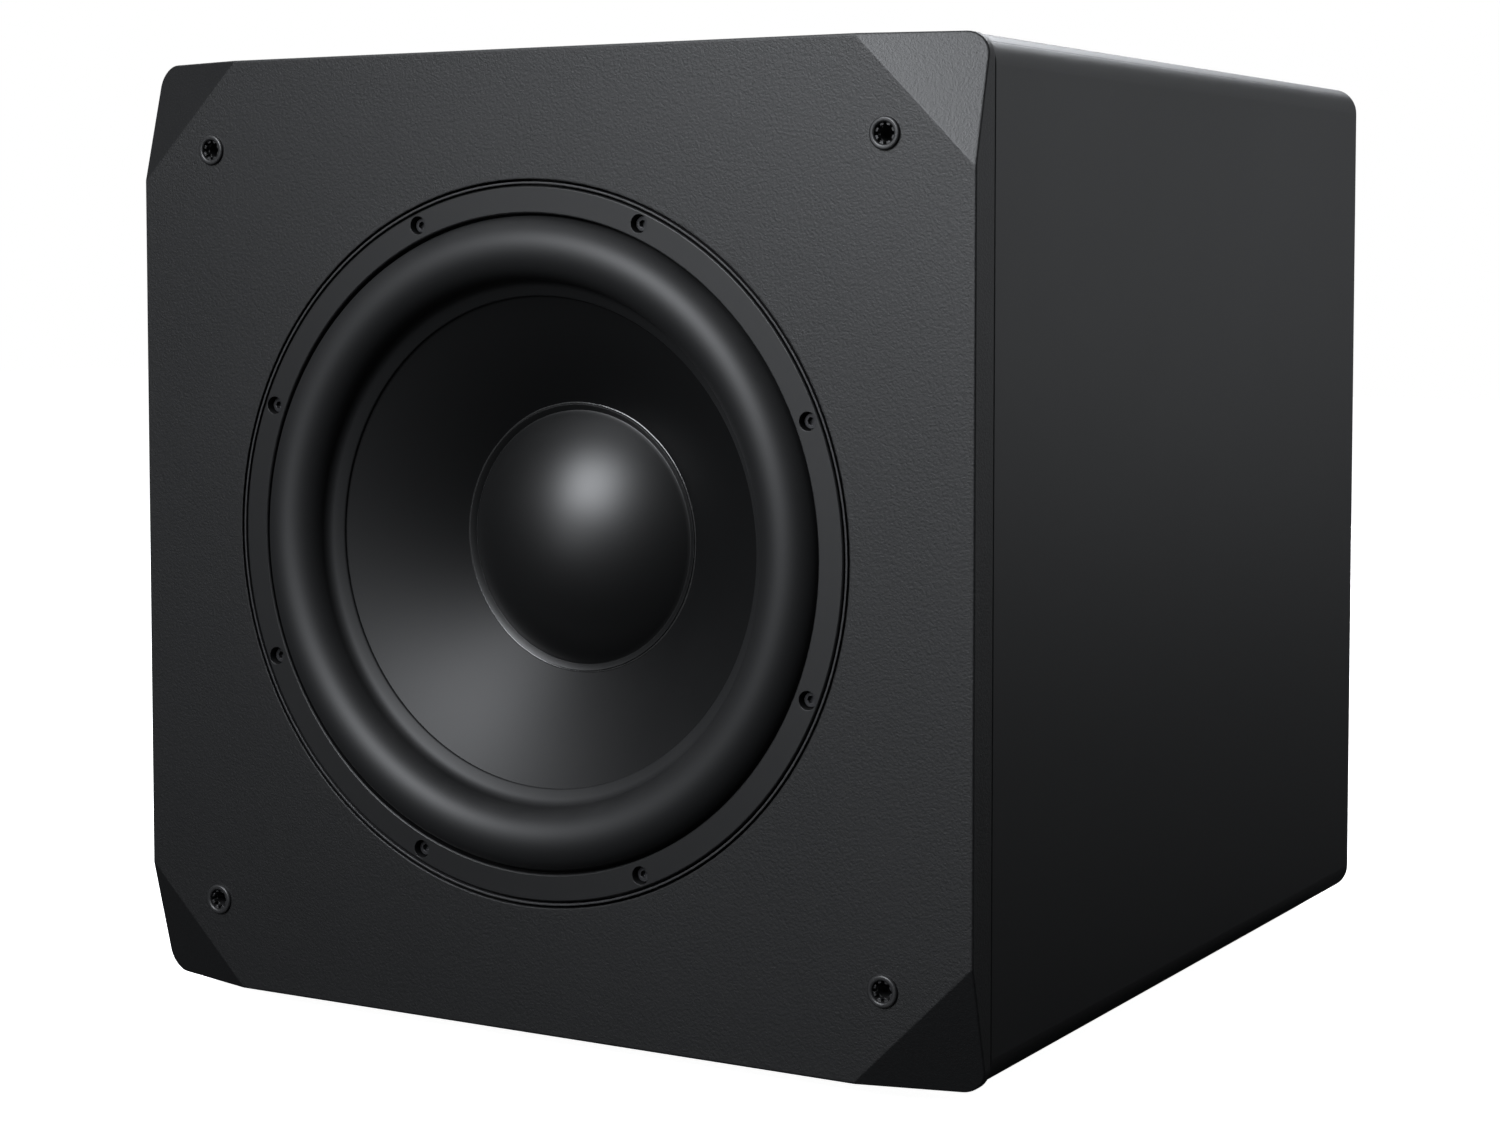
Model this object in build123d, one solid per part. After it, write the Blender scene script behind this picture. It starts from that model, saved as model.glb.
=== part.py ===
from build123d import *
import math
import os

# All sizes are in millimetres. +Z is up, the driver faces -Y, and the origin is on the floor
# under the middle of the whole object.

# Cabinet
cabinet_width = 420.0
cabinet_height = 420.0
cabinet_depth = 457.0
wall_thickness = 18.0
corner_radius = 13.0
seam_chamfer = 0.5
back_chamfer = 1.5
baffle_thickness = 25.0
baffle_edge = 17.0
baffle_corner_radius = 10.0
facet_cut = 53.4
facet_depth = 13.8
baffle_edge_radius = 0.9
brace_position = 231.0
brace_border = 62.0
brace_corner = 40.0
pad_thickness = 25.0
pad_margin = 27.0
pad_gap = 12.0

# Feet
foot_radius = 19.0
foot_tip_radius = 17.0
foot_height = 10.0
foot_inset = 58.0
foot_setback = 72.0
foot_recess_radius = 6.0
foot_recess_depth = 5.0
foot_screw_radius = 2.2
foot_screw_length = 16.0
foot_screw_head = 2.4
foot_screw_head_radius = 4.5

# Grille sockets
socket_inset = 39.6
socket_collar_radius = 6.75
socket_collar_height = 1.5
socket_barrel_radius = 5.5
socket_barrel_length = 13.0
socket_bore_radius = 3.4
socket_bore_depth = 11.0
socket_mouth_radius = 4.4
socket_mouth_depth = 1.4
socket_slot_radius = 4.4
socket_slot_width = 1.5
socket_slot_depth = 4.0
socket_round = 0.9
socket_slots = 8

# Driver, front end
bolt_circle_radius = 147.0
driver_screw_count = 8
trim_outer_radius = 152.1
trim_inner_radius = 140.7
trim_thickness = 8.5
trim_lip_thickness = 4.9
trim_groove = 1.0
basket_rim_width = 0.8
rebate_gap = 1.2
flange_thickness = 4.0
gasket_thickness = 1.0
land_depth = 6.1
land_inner_radius = 137.6
land_outer_radius = 142.0
land_clearance = 0.2
cutout_radius = 140.8

# Surround, cone and dust cap
surround_rise = 8.0
surround_thickness = 1.1
roll_outer_radius = 139.1
roll_inner_radius = 114.4
cone_edge_radius = 115.0
cone_edge_depth = 6.6
cone_slope = 0.62
cone_wall = 1.8
surround_land_width = 9.3
cap_radius = 58.5
cap_rise = 24.0
cap_wall = 1.2
cap_rim_width = 3.0

# Voice coil and motor
coil_radius = 33.0
former_wall = 0.5
coil_wire = 1.2
coil_length = 32.0
cone_travel = 12.0
gap_clearance = 0.7
spider_depth = 80.0
spider_outer_radius = 79.0
spider_wave = 2.4
spider_wall = 0.8
spider_waves = 5
basket_base_radius = 84.0
basket_base_depth = 95.0
basket_base_thickness = 5.0
basket_wall = 4.0
basket_spokes = 8
spoke_angle = 13.0
top_plate_thickness = 8.0
top_plate_radius = 72.0
magnet_thickness = 20.0
magnet_count = 2
magnet_outer_radius = 78.0
magnet_inner_radius = 46.0
back_plate_thickness = 10.0
pole_vent_radius = 10.0
motor_screw_circle = 60.0
motor_screw_count = 6
motor_shank_radius = 2.5
motor_head_radius = 4.5
motor_head_height = 2.8
terminal_spacing = 10.0
terminal_height = 88.0
terminal_width = 26.0
tag_width = 6.3
tag_thickness = 0.8
tag_length = 12.0
tinsel_attach = 60.0

# Amplifier
amp_width = 260.0
amp_height = 330.0
amp_plate_thickness = 3.0
amp_flange = 12.0
amp_corner = 6.0
amp_gasket_thickness = 1.0
amp_fit = 0.75
enclosure_depth = 80.0
enclosure_wall = 1.5
enclosure_gap = 2.0
heatsink_width = 204.0
heatsink_margin = 18.0
controls_room = 194.0
heatsink_base = 4.0
heatsink_fin_height = 18.0
heatsink_fin = 2.0
heatsink_fins = 18
board_thickness = 1.6
board_standoff = 12.0
main_board_width = 214.0
input_board_height = 70.0
input_board_width = 216.0
input_board_gap = 8.0
capacitor_radius = 12.5
capacitor_length = 35.0
capacitor_places = (-72, -40, 40, 72)
transistor_width = 15.6
transistor_height = 18.0
transistor_thickness = 5.0
transistor_places = (-72, -24, 24, 72)
transformer_x = 4.0
transformer_radius = 43.0
transformer_hole = 14.0
transformer_height = 36.0
transformer_round = 6.0
clamp_radius = 26.66
clamp_thickness = 1.5
clamp_bolt_radius = 3.0
clamp_nut = 10.0
clamp_nut_height = 4.0
amp_screw_radius = 1.9
amp_screw_length = 15.0
amp_screw_head = 2.2
amp_screw_head_radius = 3.6
amp_screws_across = 4
amp_screws_up = 4

# Controls and sockets on the amplifier plate
knob_places = {"volume": 84.0, "crossover": 28.0}
slider_places = {"phase": -28.0, "mode": -84.0}
jack_places = [92.0, 70.0, 40.0, 18.0]
trigger_x = -24.0
lens_x = -84.0
rocker_x = 88.0
inlet_x = -88.0
control_drop = 27.0
jack_drop = 44.0
power_rise = 57.0
knob_radius = 9.0
knob_height = 14.0
knob_gap = 1.0
shaft_radius = 2.5
bushing_radius = 3.5
pot_size = 16.0
flute_radius = 0.8
flute_count = 24
pointer_width = 1.2
slider_travel = 3.0
slider_width = 4.0
slider_height = 3.6
slider_stand = 4.0
slider_root = 5.0
slider_groove = 0.4
rocker_angle = 8.0
rocker_width = 14.0
rocker_half_length = 10.5
housing_width = 19.0
housing_height = 28.0
housing_depth = 18.0
bezel_border = 1.5
bezel_height = 2.0
inlet_width = 28.0
inlet_height = 48.0
inlet_depth = 24.0
inlet_cavity_width = 24.5
inlet_cavity_height = 18.0
inlet_cavity_depth = 17.0
inlet_cavity_z = -10.5
pin_width = 2.0
pin_height = 4.0
pin_length = 15.0
pin_tail = 8.0
pin_places = ((-7, -1), (7, -1), (0, 3))
drawer_width = 24.0
drawer_height = 8.4
drawer_depth = 13.0
drawer_z = 12.5
fuse_radius = 2.5
fuse_length = 20.0
jack_radius = 4.15
jack_core_radius = 3.2
jack_neck_radius = 4.0
jack_flange_radius = 6.2
jack_flange = 2.0
jack_length = 10.0
jack_depth = 8.0
jack_hole_radius = 1.65
trigger_radius = 3.0
trigger_bore_radius = 1.8
trigger_reach = 3.5
trigger_bore_depth = 12.0
trigger_body = 10.0
lens_radius = 2.4
lens_stand = 1.2

# Cross sections of wire
speaker_wire_radius = 2.2
tinsel_radius = 0.8

# Fits shared by many pieces
running_clearance = 0.1
screw_clearance = 0.2
thread_clearance = 0.05
play = 0.3

# Places worked out from the sizes above
heatsink_depth = heatsink_base + heatsink_fin_height
front_y = -(cabinet_depth + heatsink_depth - surround_rise) / 2
back_y = front_y + cabinet_depth
centre_z = foot_height + cabinet_height / 2
inner_width = cabinet_width - 2 * wall_thickness
inner_height = cabinet_height - 2 * wall_thickness
flange_front = trim_thickness
flange_back = flange_front + flange_thickness
rebate_depth = flange_back + gasket_thickness
basket_radius = trim_outer_radius + trim_groove + basket_rim_width
rebate_radius = basket_radius + rebate_gap
motor_front = basket_base_depth + basket_base_thickness
magnet_front = motor_front + top_plate_thickness
magnet_back = magnet_front + magnet_count * magnet_thickness
coil_front = motor_front + top_plate_thickness / 2 - coil_length / 2
screw_head_radius = 3.3
screw_head_height = 4.0
screw_shank_radius = 2.0
screw_length = 16.0
screw_bed = 1.5
screw_hole_radius = 3.9
insert_radius = 4.0
insert_length = 10.0
plate_inside = -amp_plate_thickness
board_face = plate_inside - board_standoff
board_back = board_face - board_thickness
screw_offset = 180 / driver_screw_count
foot_pilot_radius = foot_screw_radius + thread_clearance
foot_pilot_depth = foot_screw_length + foot_recess_depth - foot_height + 1
terminal_front = basket_base_depth - 10
terminal_back = basket_base_depth + 4

# Heights on the amplifier plate, measured from its middle
heatsink_height = amp_height - heatsink_margin - controls_room
heatsink_z = amp_height / 2 - heatsink_margin - heatsink_height / 2
control_z = heatsink_z - heatsink_height / 2 - control_drop
jack_z = control_z - jack_drop
power_z = power_rise - amp_height / 2
transformer_z = power_z + 5
main_board_height = heatsink_height - 12
main_board_z = heatsink_z - 16
capacitor_z = main_board_z - main_board_height / 2 + 35
input_board_z = control_z - 22
lead_exit_z = main_board_z - main_board_height / 2 + 11


# Shapes used by many pieces

def rod(radius, start, end, x=0.0, z=0.0):
    # a cylinder lying along Y
    align = (Align.CENTER, Align.CENTER, Align.MIN)
    return Pos(x, start, z) * Rot(-90, 0, 0) * Cylinder(radius, end - start, align=align)


def post(radius, start, end, x=0.0, y=0.0):
    # a cylinder standing along Z
    align = (Align.CENTER, Align.CENTER, Align.MIN)
    return Pos(x, y, start) * Cylinder(radius, end - start, align=align)


def block(width, height, start, end, x=0.0, z=0.0):
    # a box centred on x and z and running from start to end along Y
    align = (Align.CENTER, Align.MIN, Align.CENTER)
    return Pos(x, start, z) * Box(width, end - start, height, align=align)


def slab(width, height, radius, start, end, x=0.0, z=0.0):
    # a box along Y with rounded corners
    outline = RectangleRounded(width, height, radius)
    return Pos(x, start, z) * Rot(-90, 0, 0) * extrude(outline, end - start)


def turned(points):
    # a ring turned about Y from corners given as radius and depth
    outline = make_face(Polyline(points, close=True))
    return revolve(outline, axis=Axis.Y)


def ring_of(piece, count, offset=0.0):
    # equal copies of one piece around the Y axis
    return [Rot(0, offset + 360 * k / count, 0) * piece for k in range(count)]


def hex_socket(flats, start, end):
    outline = RegularPolygon(flats / 2, 6, major_radius=False)
    return Pos(0, start, 0) * Rot(-90, 0, 0) * extrude(outline, end - start)


def cross_slot(start, end, span=4.2, width=1.0):
    return block(span, width, start, end) + block(width, span, start, end)


def corner_arc_radii(points):
    # the arc at each bend takes at most nine tenths of the shorter run beside it
    radii = []
    for before, here, after in zip(points, points[1:], points[2:]):
        run_in = Vector(*here) - Vector(*before)
        run_out = Vector(*after) - Vector(*here)
        half_turn = math.radians(run_in.get_angle(run_out)) / 2
        radii.append(0.45 * min(run_in.length, run_out.length) / math.tan(half_turn))
    return radii


def wire_along(points, radius):
    # straight runs joined by tangent arcs
    path = FilletPolyline(*points, radius=corner_arc_radii(points))
    section = Plane(origin=path @ 0, z_dir=path % 0) * Circle(radius)
    return sweep(section, path=path)


def at_driver(piece):
    return Pos(0, front_y, centre_z) * piece


def at_back(piece):
    return Pos(0, back_y, centre_z) * piece


def save(name, *pieces):
    solids = []
    for piece in pieces:
        solids.extend(piece.solids())
    shape = solids[0] if len(solids) == 1 else Compound(solids)
    export_step(shape, f"parts/{name}.step")


# Cabinet

def cabinet_block(radius, start, end):
    return slab(cabinet_width, cabinet_height, radius, start, end)


def wall_outline():
    # the outside of the four walls, eased where it meets the baffle and at the back
    block_outside = cabinet_block(corner_radius, baffle_edge, cabinet_depth)
    faces = block_outside.faces().sort_by(Axis.Y)
    block_outside = chamfer(faces[0].edges(), seam_chamfer)
    faces = block_outside.faces().sort_by(Axis.Y)
    return chamfer(faces[-1].edges(), back_chamfer)


def mitred_wall(half_span, half_reach, turn):
    # one wall with both ends cut at 45 degrees, turned into its place around Y
    corners = [
        (-half_span, half_reach),
        (half_span, half_reach),
        (half_span - wall_thickness, half_reach - wall_thickness),
        (-half_span + wall_thickness, half_reach - wall_thickness),
    ]
    outline = make_face(Polyline(corners, close=True))
    length = cabinet_depth - baffle_edge
    wall = Pos(0, cabinet_depth, 0) * Rot(90, 0, 0) * extrude(outline, length)
    return Rot(0, turn, 0) * wall


def foot_places():
    x = cabinet_width / 2 - foot_inset
    front = front_y + foot_setback
    back = back_y - foot_setback
    return [(-x, front), (x, front), (-x, back), (x, back)]


def make_walls():
    outline = wall_outline()
    half_width = cabinet_width / 2
    half_height = cabinet_height / 2
    save("top_panel", at_driver(mitred_wall(half_width, half_height, 0) & outline))
    save("right_panel", at_driver(mitred_wall(half_height, half_width, 90) & outline))
    save("left_panel", at_driver(mitred_wall(half_height, half_width, -90) & outline))
    bottom = at_driver(mitred_wall(half_width, half_height, 180) & outline)
    for x, y in foot_places():
        bottom -= post(foot_pilot_radius, foot_height, foot_height + foot_pilot_depth, x, y)
    save("bottom_panel", bottom)


def facet_cutter():
    # a block whose lower face is the sloping corner facet at the upper right
    half_width = cabinet_width / 2
    half_height = cabinet_height / 2
    origin = Vector(half_width - facet_cut / 2, 0, half_height - facet_cut / 2)
    corner = Vector(half_width, facet_depth, half_height)
    along = Vector(1, 0, -1)
    down = corner - origin
    outward = along.cross(down)
    if outward.Y > 0:
        outward = outward * -1
    plane = Plane(origin=origin, x_dir=along, z_dir=outward)
    align = (Align.CENTER, Align.CENTER, Align.MIN)
    return plane * Box(3 * facet_cut, 3 * facet_cut, facet_cut, align=align)


def socket_places():
    x = cabinet_width / 2 - socket_inset
    z = cabinet_height / 2 - socket_inset
    return [(-x, -z), (x, -z), (-x, z), (x, z)]


def make_front_baffle():
    face = cabinet_block(baffle_corner_radius, 0, baffle_edge)
    face = chamfer(face.faces().sort_by(Axis.Y)[-1].edges(), seam_chamfer)
    cutter = facet_cutter()
    for side in (cutter, mirror(cutter, about=Plane.YZ)):
        face -= side
        face -= mirror(side, about=Plane.XY)
    face = fillet(front_rim_edges(face), baffle_edge_radius)
    plug = block(inner_width, inner_height, baffle_edge, baffle_thickness)
    baffle = face + plug
    baffle -= rod(rebate_radius, -1, rebate_depth)
    baffle -= rod(cutout_radius, rebate_depth - 1, baffle_thickness + 1)
    hole = rod(insert_radius, rebate_depth - 1, baffle_thickness + 1, 0, bolt_circle_radius)
    for piece in ring_of(hole, driver_screw_count, screw_offset):
        baffle -= piece
    for x, z in socket_places():
        baffle -= rod(socket_barrel_radius, -1, socket_barrel_length, x, z)
    save("front_baffle", at_driver(baffle))


def front_rim_edges(face):
    # every edge around the front: the four long ones and those of the facets
    rim = face.edges().filter_by(lambda edge: edge.center().Y < facet_depth)
    return rim.filter_by(lambda edge: edge.bounding_box().max.Y < facet_depth)


def make_grille_sockets():
    body = rod(socket_collar_radius, -socket_collar_height, 0)
    body -= rod(socket_mouth_radius, -socket_collar_height - 1, 1)
    body = fillet(body.faces().sort_by(Axis.Y)[0].edges(), socket_round)
    mouth_floor = -socket_collar_height + socket_mouth_depth
    body += rod(socket_barrel_radius, mouth_floor, socket_barrel_length)
    body -= rod(socket_bore_radius, -socket_collar_height - 1, socket_bore_depth)
    slot_end = -socket_collar_height + socket_slot_depth
    slot = block(socket_slot_width, socket_slot_radius, -socket_collar_height - 1, slot_end)
    slot = Pos(0, 0, socket_slot_radius / 2) * slot
    for piece in ring_of(slot, socket_slots):
        body -= piece
    save("grille_sockets", *[at_driver(Pos(x, 0, z) * body) for x, z in socket_places()])


def make_rear_panel():
    start = cabinet_depth - wall_thickness
    panel = block(inner_width, inner_height, start, cabinet_depth)
    rebate = amp_plate_thickness + amp_gasket_thickness
    recess = slab(amp_width + 2 * amp_fit, amp_height + 2 * amp_fit, amp_corner + amp_fit,
                  cabinet_depth - rebate, cabinet_depth + 1)
    window = block(amp_width - 2 * amp_flange, amp_height - 2 * amp_flange,
                   start - 1, cabinet_depth)
    panel = panel - recess - window
    for x, z in amp_screw_places():
        panel -= rod(amp_screw_radius + thread_clearance, cabinet_depth - amp_screw_length - 1,
                     cabinet_depth, x, z)
    save("rear_panel", at_driver(panel))


def make_window_brace():
    end = brace_position + wall_thickness
    brace = block(inner_width, inner_height, brace_position, end)
    brace -= slab(inner_width - 2 * brace_border, inner_height - 2 * brace_border, brace_corner,
                  brace_position - 1, end + 1)
    save("window_brace", at_driver(brace))


def make_damping_pads():
    start = brace_position + wall_thickness + pad_gap
    end = cabinet_depth - wall_thickness - pad_gap
    width = inner_width - 2 * pad_margin
    height = inner_height - 2 * pad_margin
    x = (inner_width - pad_thickness) / 2
    z = (inner_height - pad_thickness) / 2
    save(
        "damping_pads",
        at_driver(block(pad_thickness, height, start, end, -x, 0)),
        at_driver(block(pad_thickness, height, start, end, x, 0)),
        at_driver(block(width, pad_thickness, start, end, 0, -z)),
        at_driver(block(width, pad_thickness, start, end, 0, z)),
    )


def make_feet():
    feet = []
    screws = []
    for x, y in foot_places():
        foot = Pos(x, y, foot_height / 2) * Cone(foot_tip_radius, foot_radius, foot_height)
        foot = chamfer(foot.faces().sort_by(Axis.Z)[0].edges(), 0.8)
        foot -= post(foot_recess_radius, -1, foot_recess_depth, x, y)
        foot -= post(foot_screw_radius + screw_clearance, 0, foot_height + 1, x, y)
        feet.append(foot)
        head_start = foot_recess_depth - foot_screw_head
        screw = post(foot_screw_head_radius, head_start, foot_recess_depth, x, y)
        screw += post(foot_screw_radius, head_start, foot_recess_depth + foot_screw_length, x, y)
        cross = Box(5, 1.1, 2.4) + Box(1.1, 5, 2.4)
        screw -= Pos(x, y, head_start) * cross
        screws.append(screw)
    save("rubber_feet", *feet)
    save("foot_screws", *screws)


# Driver

def make_basket():
    rim = basket_radius - basket_rim_width
    wall_outer = cutout_radius - 1.2
    shelf_inner = spider_outer_radius - 5
    shelf_front = spider_depth + spider_wall
    profile = [
        (rim, 0.2),
        (basket_radius, 0.2),
        (basket_radius, flange_back),
        (wall_outer, flange_back),
        (basket_base_radius, basket_base_depth - 11),
        (basket_base_radius, motor_front),
        (coil_radius + 3.2, motor_front),
        (coil_radius + 3.2, basket_base_depth),
        (shelf_inner, basket_base_depth),
        (shelf_inner, shelf_front),
        (spider_outer_radius + 0.5, shelf_front),
        (wall_outer - basket_wall - 1.3, flange_back + 1.5),
        (land_inner_radius, flange_front),
        (land_inner_radius, land_depth),
        (land_outer_radius, land_depth),
        (land_outer_radius, flange_front),
        (rim, flange_front),
    ]
    basket = turned(profile)
    reach = basket_radius + 10
    half = math.radians((360 / basket_spokes - spoke_angle) / 2)
    fan = [
        (0, 0),
        (-reach * math.sin(half), reach * math.cos(half)),
        (reach * math.sin(half), reach * math.cos(half)),
    ]
    window_front = flange_back + 12
    window_back = basket_base_depth - 12
    window = extrude(make_face(Polyline(fan, close=True)), window_back - window_front)
    window = Pos(0, window_back, 0) * Rot(90, 0, 0) * window
    for piece in ring_of(window, basket_spokes):
        basket -= piece
    hole = rod(screw_shank_radius + screw_clearance, flange_front - 1, flange_back + 1,
               0, bolt_circle_radius)
    for piece in ring_of(hole, driver_screw_count, screw_offset):
        basket -= piece
    hole = rod(motor_shank_radius + screw_clearance, basket_base_depth - 1, motor_front + 1,
               0, motor_screw_circle)
    for piece in ring_of(hole, motor_screw_count):
        basket -= piece
    save("basket", at_driver(basket))


def make_basket_gasket():
    gasket = rod(basket_radius - 0.5, flange_back, rebate_depth)
    gasket -= rod(cutout_radius, flange_back - 1, rebate_depth + 1)
    hole = rod(screw_shank_radius + screw_clearance, flange_back - 1, rebate_depth + 1,
               0, bolt_circle_radius)
    for piece in ring_of(hole, driver_screw_count, screw_offset):
        gasket -= piece
    save("basket_gasket", at_driver(gasket))


def make_trim_ring():
    edge = 0.5
    thick_inner = land_outer_radius + land_clearance
    profile = [
        (trim_inner_radius + edge, 0),
        (trim_outer_radius - edge, 0),
        (trim_outer_radius, edge),
        (trim_outer_radius, trim_thickness),
        (thick_inner, trim_thickness),
        (thick_inner, trim_lip_thickness),
        (trim_inner_radius, trim_lip_thickness),
        (trim_inner_radius, edge),
    ]
    ring = turned(profile)
    seat = trim_thickness - screw_bed
    hole = rod(screw_hole_radius, -1, seat, 0, bolt_circle_radius)
    hole += rod(screw_shank_radius + screw_clearance, seat - 1, trim_thickness + 1,
                0, bolt_circle_radius)
    for piece in ring_of(hole, driver_screw_count, screw_offset):
        ring -= piece
    save("trim_ring", at_driver(ring))


def make_driver_screws():
    seat = trim_thickness - screw_bed
    head_front = seat - screw_head_height
    screw = rod(screw_head_radius, head_front, seat)
    screw = chamfer(screw.faces().sort_by(Axis.Y)[0].edges(), 0.4)
    screw += rod(screw_shank_radius, seat - 1, seat + screw_length)
    screw -= hex_socket(3.0, head_front - 1, head_front + 2.2)
    screw = Pos(0, 0, bolt_circle_radius) * screw
    save("driver_screws", *[at_driver(s) for s in
                            ring_of(screw, driver_screw_count, screw_offset)])


def make_baffle_inserts():
    start = rebate_depth + 0.5
    insert = rod(insert_radius, start, start + insert_length)
    insert -= rod(screw_shank_radius + thread_clearance, start - 1, start + insert_length + 1)
    insert = Pos(0, 0, bolt_circle_radius) * insert
    save("baffle_inserts", *[at_driver(s) for s in
                             ring_of(insert, driver_screw_count, screw_offset)])


def cone_front(radius):
    # depth of the cone's front face at a radius
    return cone_edge_depth + (cone_edge_radius - radius) * cone_slope


def make_surround():
    # a rubber half roll between a flat outer lip and a sloping inner lip on the cone
    lip_top = land_depth - surround_thickness
    lip_outer = land_outer_radius - land_clearance
    crown_radius = (roll_outer_radius + roll_inner_radius) / 2
    land_end = cone_edge_radius - surround_land_width
    land_rise = surround_thickness * math.hypot(1, cone_slope)
    under = surround_thickness * 1.1
    outside = [
        Line((lip_outer, lip_top), (roll_outer_radius, lip_top)),
        ThreePointArc(
            (roll_outer_radius, lip_top),
            (crown_radius, -surround_rise),
            (roll_inner_radius, cone_front(roll_inner_radius) - land_rise),
        ),
        Line(
            (roll_inner_radius, cone_front(roll_inner_radius) - land_rise),
            (land_end, cone_front(land_end) - land_rise),
        ),
        Line((land_end, cone_front(land_end) - land_rise), (land_end, cone_front(land_end))),
        Line((land_end, cone_front(land_end)), (cone_edge_radius, cone_front(cone_edge_radius))),
    ]
    inside = [
        ThreePointArc(
            (cone_edge_radius, cone_front(cone_edge_radius)),
            (crown_radius, -surround_rise + surround_thickness),
            (roll_outer_radius - under, land_depth),
        ),
        Line((roll_outer_radius - under, land_depth), (lip_outer, land_depth)),
        Line((lip_outer, land_depth), (lip_outer, lip_top)),
    ]
    outline = make_face(outside + inside)
    save("surround", at_driver(revolve(outline, axis=Axis.Y)))


def make_cone():
    profile = [
        (cone_edge_radius, cone_front(cone_edge_radius)),
        (coil_radius + former_wall, cone_front(coil_radius + former_wall)),
        (coil_radius + former_wall, cone_front(coil_radius + former_wall) + cone_wall),
        (cone_edge_radius, cone_front(cone_edge_radius) + cone_wall),
    ]
    save("cone", at_driver(turned(profile)))


def dome_arc(rim, rise, top):
    # an arc from the rim to the axis, centred on the axis
    radius = (rim ** 2 + rise ** 2) / (2 * rise)
    half = math.asin(rim / radius) / 2
    middle = (radius * math.sin(half), top + radius * (1 - math.cos(half)))
    return ThreePointArc((rim, top + rise), middle, (0, top))


def make_dust_cap():
    # a domed shell whose sloping rim lies on the cone
    dome_rim = cap_radius - cap_rim_width
    rim_rise = cap_wall * math.hypot(1, cone_slope)
    dome_top = cone_front(dome_rim) - rim_rise - cap_rise
    inner_rim = dome_rim - cap_wall
    inner_rise = cone_front(inner_rim) - dome_top - cap_wall
    outer_arc = dome_arc(dome_rim, cap_rise, dome_top)
    inner_arc = dome_arc(inner_rim, inner_rise, dome_top + cap_wall)
    rim_foot = (cap_radius, cone_front(cap_radius))
    rim_top = (cap_radius, cone_front(cap_radius) - rim_rise)
    outline = make_face([
        Line(rim_foot, rim_top),
        Line(rim_top, outer_arc @ 0),
        outer_arc,
        Line(outer_arc @ 1, inner_arc @ 1),
        inner_arc,
        Line(inner_arc @ 0, rim_foot),
    ])
    save("dust_cap", at_driver(revolve(outline, axis=Axis.Y)))


def make_coil():
    front = cone_front(coil_radius + former_wall) - 2
    back = coil_front + coil_length
    former = rod(coil_radius + former_wall, front, back) - rod(coil_radius, front - 1, back + 1)
    save("coil_former", at_driver(former))
    outer = coil_radius + former_wall + coil_wire
    coil = rod(outer, coil_front, back)
    coil -= rod(coil_radius + former_wall, coil_front - 1, back + 1)
    save("voice_coil", at_driver(coil))


def make_spider():
    # a corrugated disc, a straight run between each crest and the next trough
    inner = coil_radius + former_wall
    start = inner + 3
    end = spider_outer_radius - 6
    steps = 2 * spider_waves
    ridge = [(inner, spider_depth), (start, spider_depth)]
    for k in range(1, steps):
        side = 1 if k % 2 else -1
        ridge.append((start + (end - start) * k / steps, spider_depth + side * spider_wave))
    ridge += [(end, spider_depth), (spider_outer_radius, spider_depth)]
    under = [(r, depth + spider_wall) for r, depth in reversed(ridge)]
    save("spider", at_driver(turned(ridge + under)))


def make_terminals():
    block_top = basket_base_radius - 2
    block_bottom = basket_base_radius + 8
    body = block(terminal_width, block_bottom - block_top, terminal_front, terminal_back,
                 0, -(block_top + block_bottom) / 2)
    body -= rod(basket_base_radius, terminal_front - 1, terminal_back + 1)
    save("terminal_block", at_driver(body))
    tags = [
        at_driver(block(tag_width, tag_thickness, terminal_back, terminal_back + tag_length,
                        side * terminal_spacing / 2, -terminal_height))
        for side in (-1, 1)
    ]
    save("terminal_tags", *tags)


def make_tinsel_leads():
    leads = []
    cone_back = cone_front(tinsel_attach) + cone_wall + 2 * tinsel_radius
    for side in (-1, 1):
        x = side * terminal_spacing / 2
        path = [
            (x, terminal_front, -terminal_height),
            (x, terminal_front - 13, -terminal_height),
            (x, terminal_front - 27, -terminal_height + 18),
            (x, cone_back, -tinsel_attach),
        ]
        leads.append(at_driver(wire_along(path, tinsel_radius)))
    save("tinsel_leads", *leads)


def make_motor():
    plate = rod(top_plate_radius, motor_front, magnet_front)
    plate -= rod(coil_radius + former_wall + coil_wire + gap_clearance,
                 motor_front - 1, magnet_front + 1)
    hole = rod(motor_shank_radius + thread_clearance, motor_front - 1, magnet_front + 1,
               0, motor_screw_circle)
    for piece in ring_of(hole, motor_screw_count):
        plate -= piece
    save("top_plate", at_driver(plate))
    magnets = []
    for k in range(magnet_count):
        start = magnet_front + k * magnet_thickness
        magnet = rod(magnet_outer_radius, start, start + magnet_thickness)
        magnet -= rod(magnet_inner_radius, start - 1, start + magnet_thickness + 1)
        magnets.append(at_driver(magnet))
    save("ferrite_magnets", *magnets)
    yoke = rod(top_plate_radius, magnet_back, magnet_back + back_plate_thickness)
    yoke += rod(coil_radius - gap_clearance, motor_front - 1, magnet_back + 1)
    yoke -= rod(pole_vent_radius, motor_front - 2, magnet_back + back_plate_thickness + 1)
    yoke = chamfer(yoke.faces().sort_by(Axis.Y)[-1].edges(), 1.0)
    save("pole_yoke", at_driver(yoke))
    head_front = basket_base_depth - motor_head_height
    screw = rod(motor_head_radius, head_front, basket_base_depth)
    screw += rod(motor_shank_radius, head_front, magnet_front - 0.5)
    screw -= hex_socket(3.0, head_front - 1, head_front + 1.6)
    screw = Pos(0, 0, motor_screw_circle) * screw
    save("motor_screws", *[at_driver(s) for s in ring_of(screw, motor_screw_count)])


# Amplifier. In these functions y is 0 on the outside of the plate and grows outwards.


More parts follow.
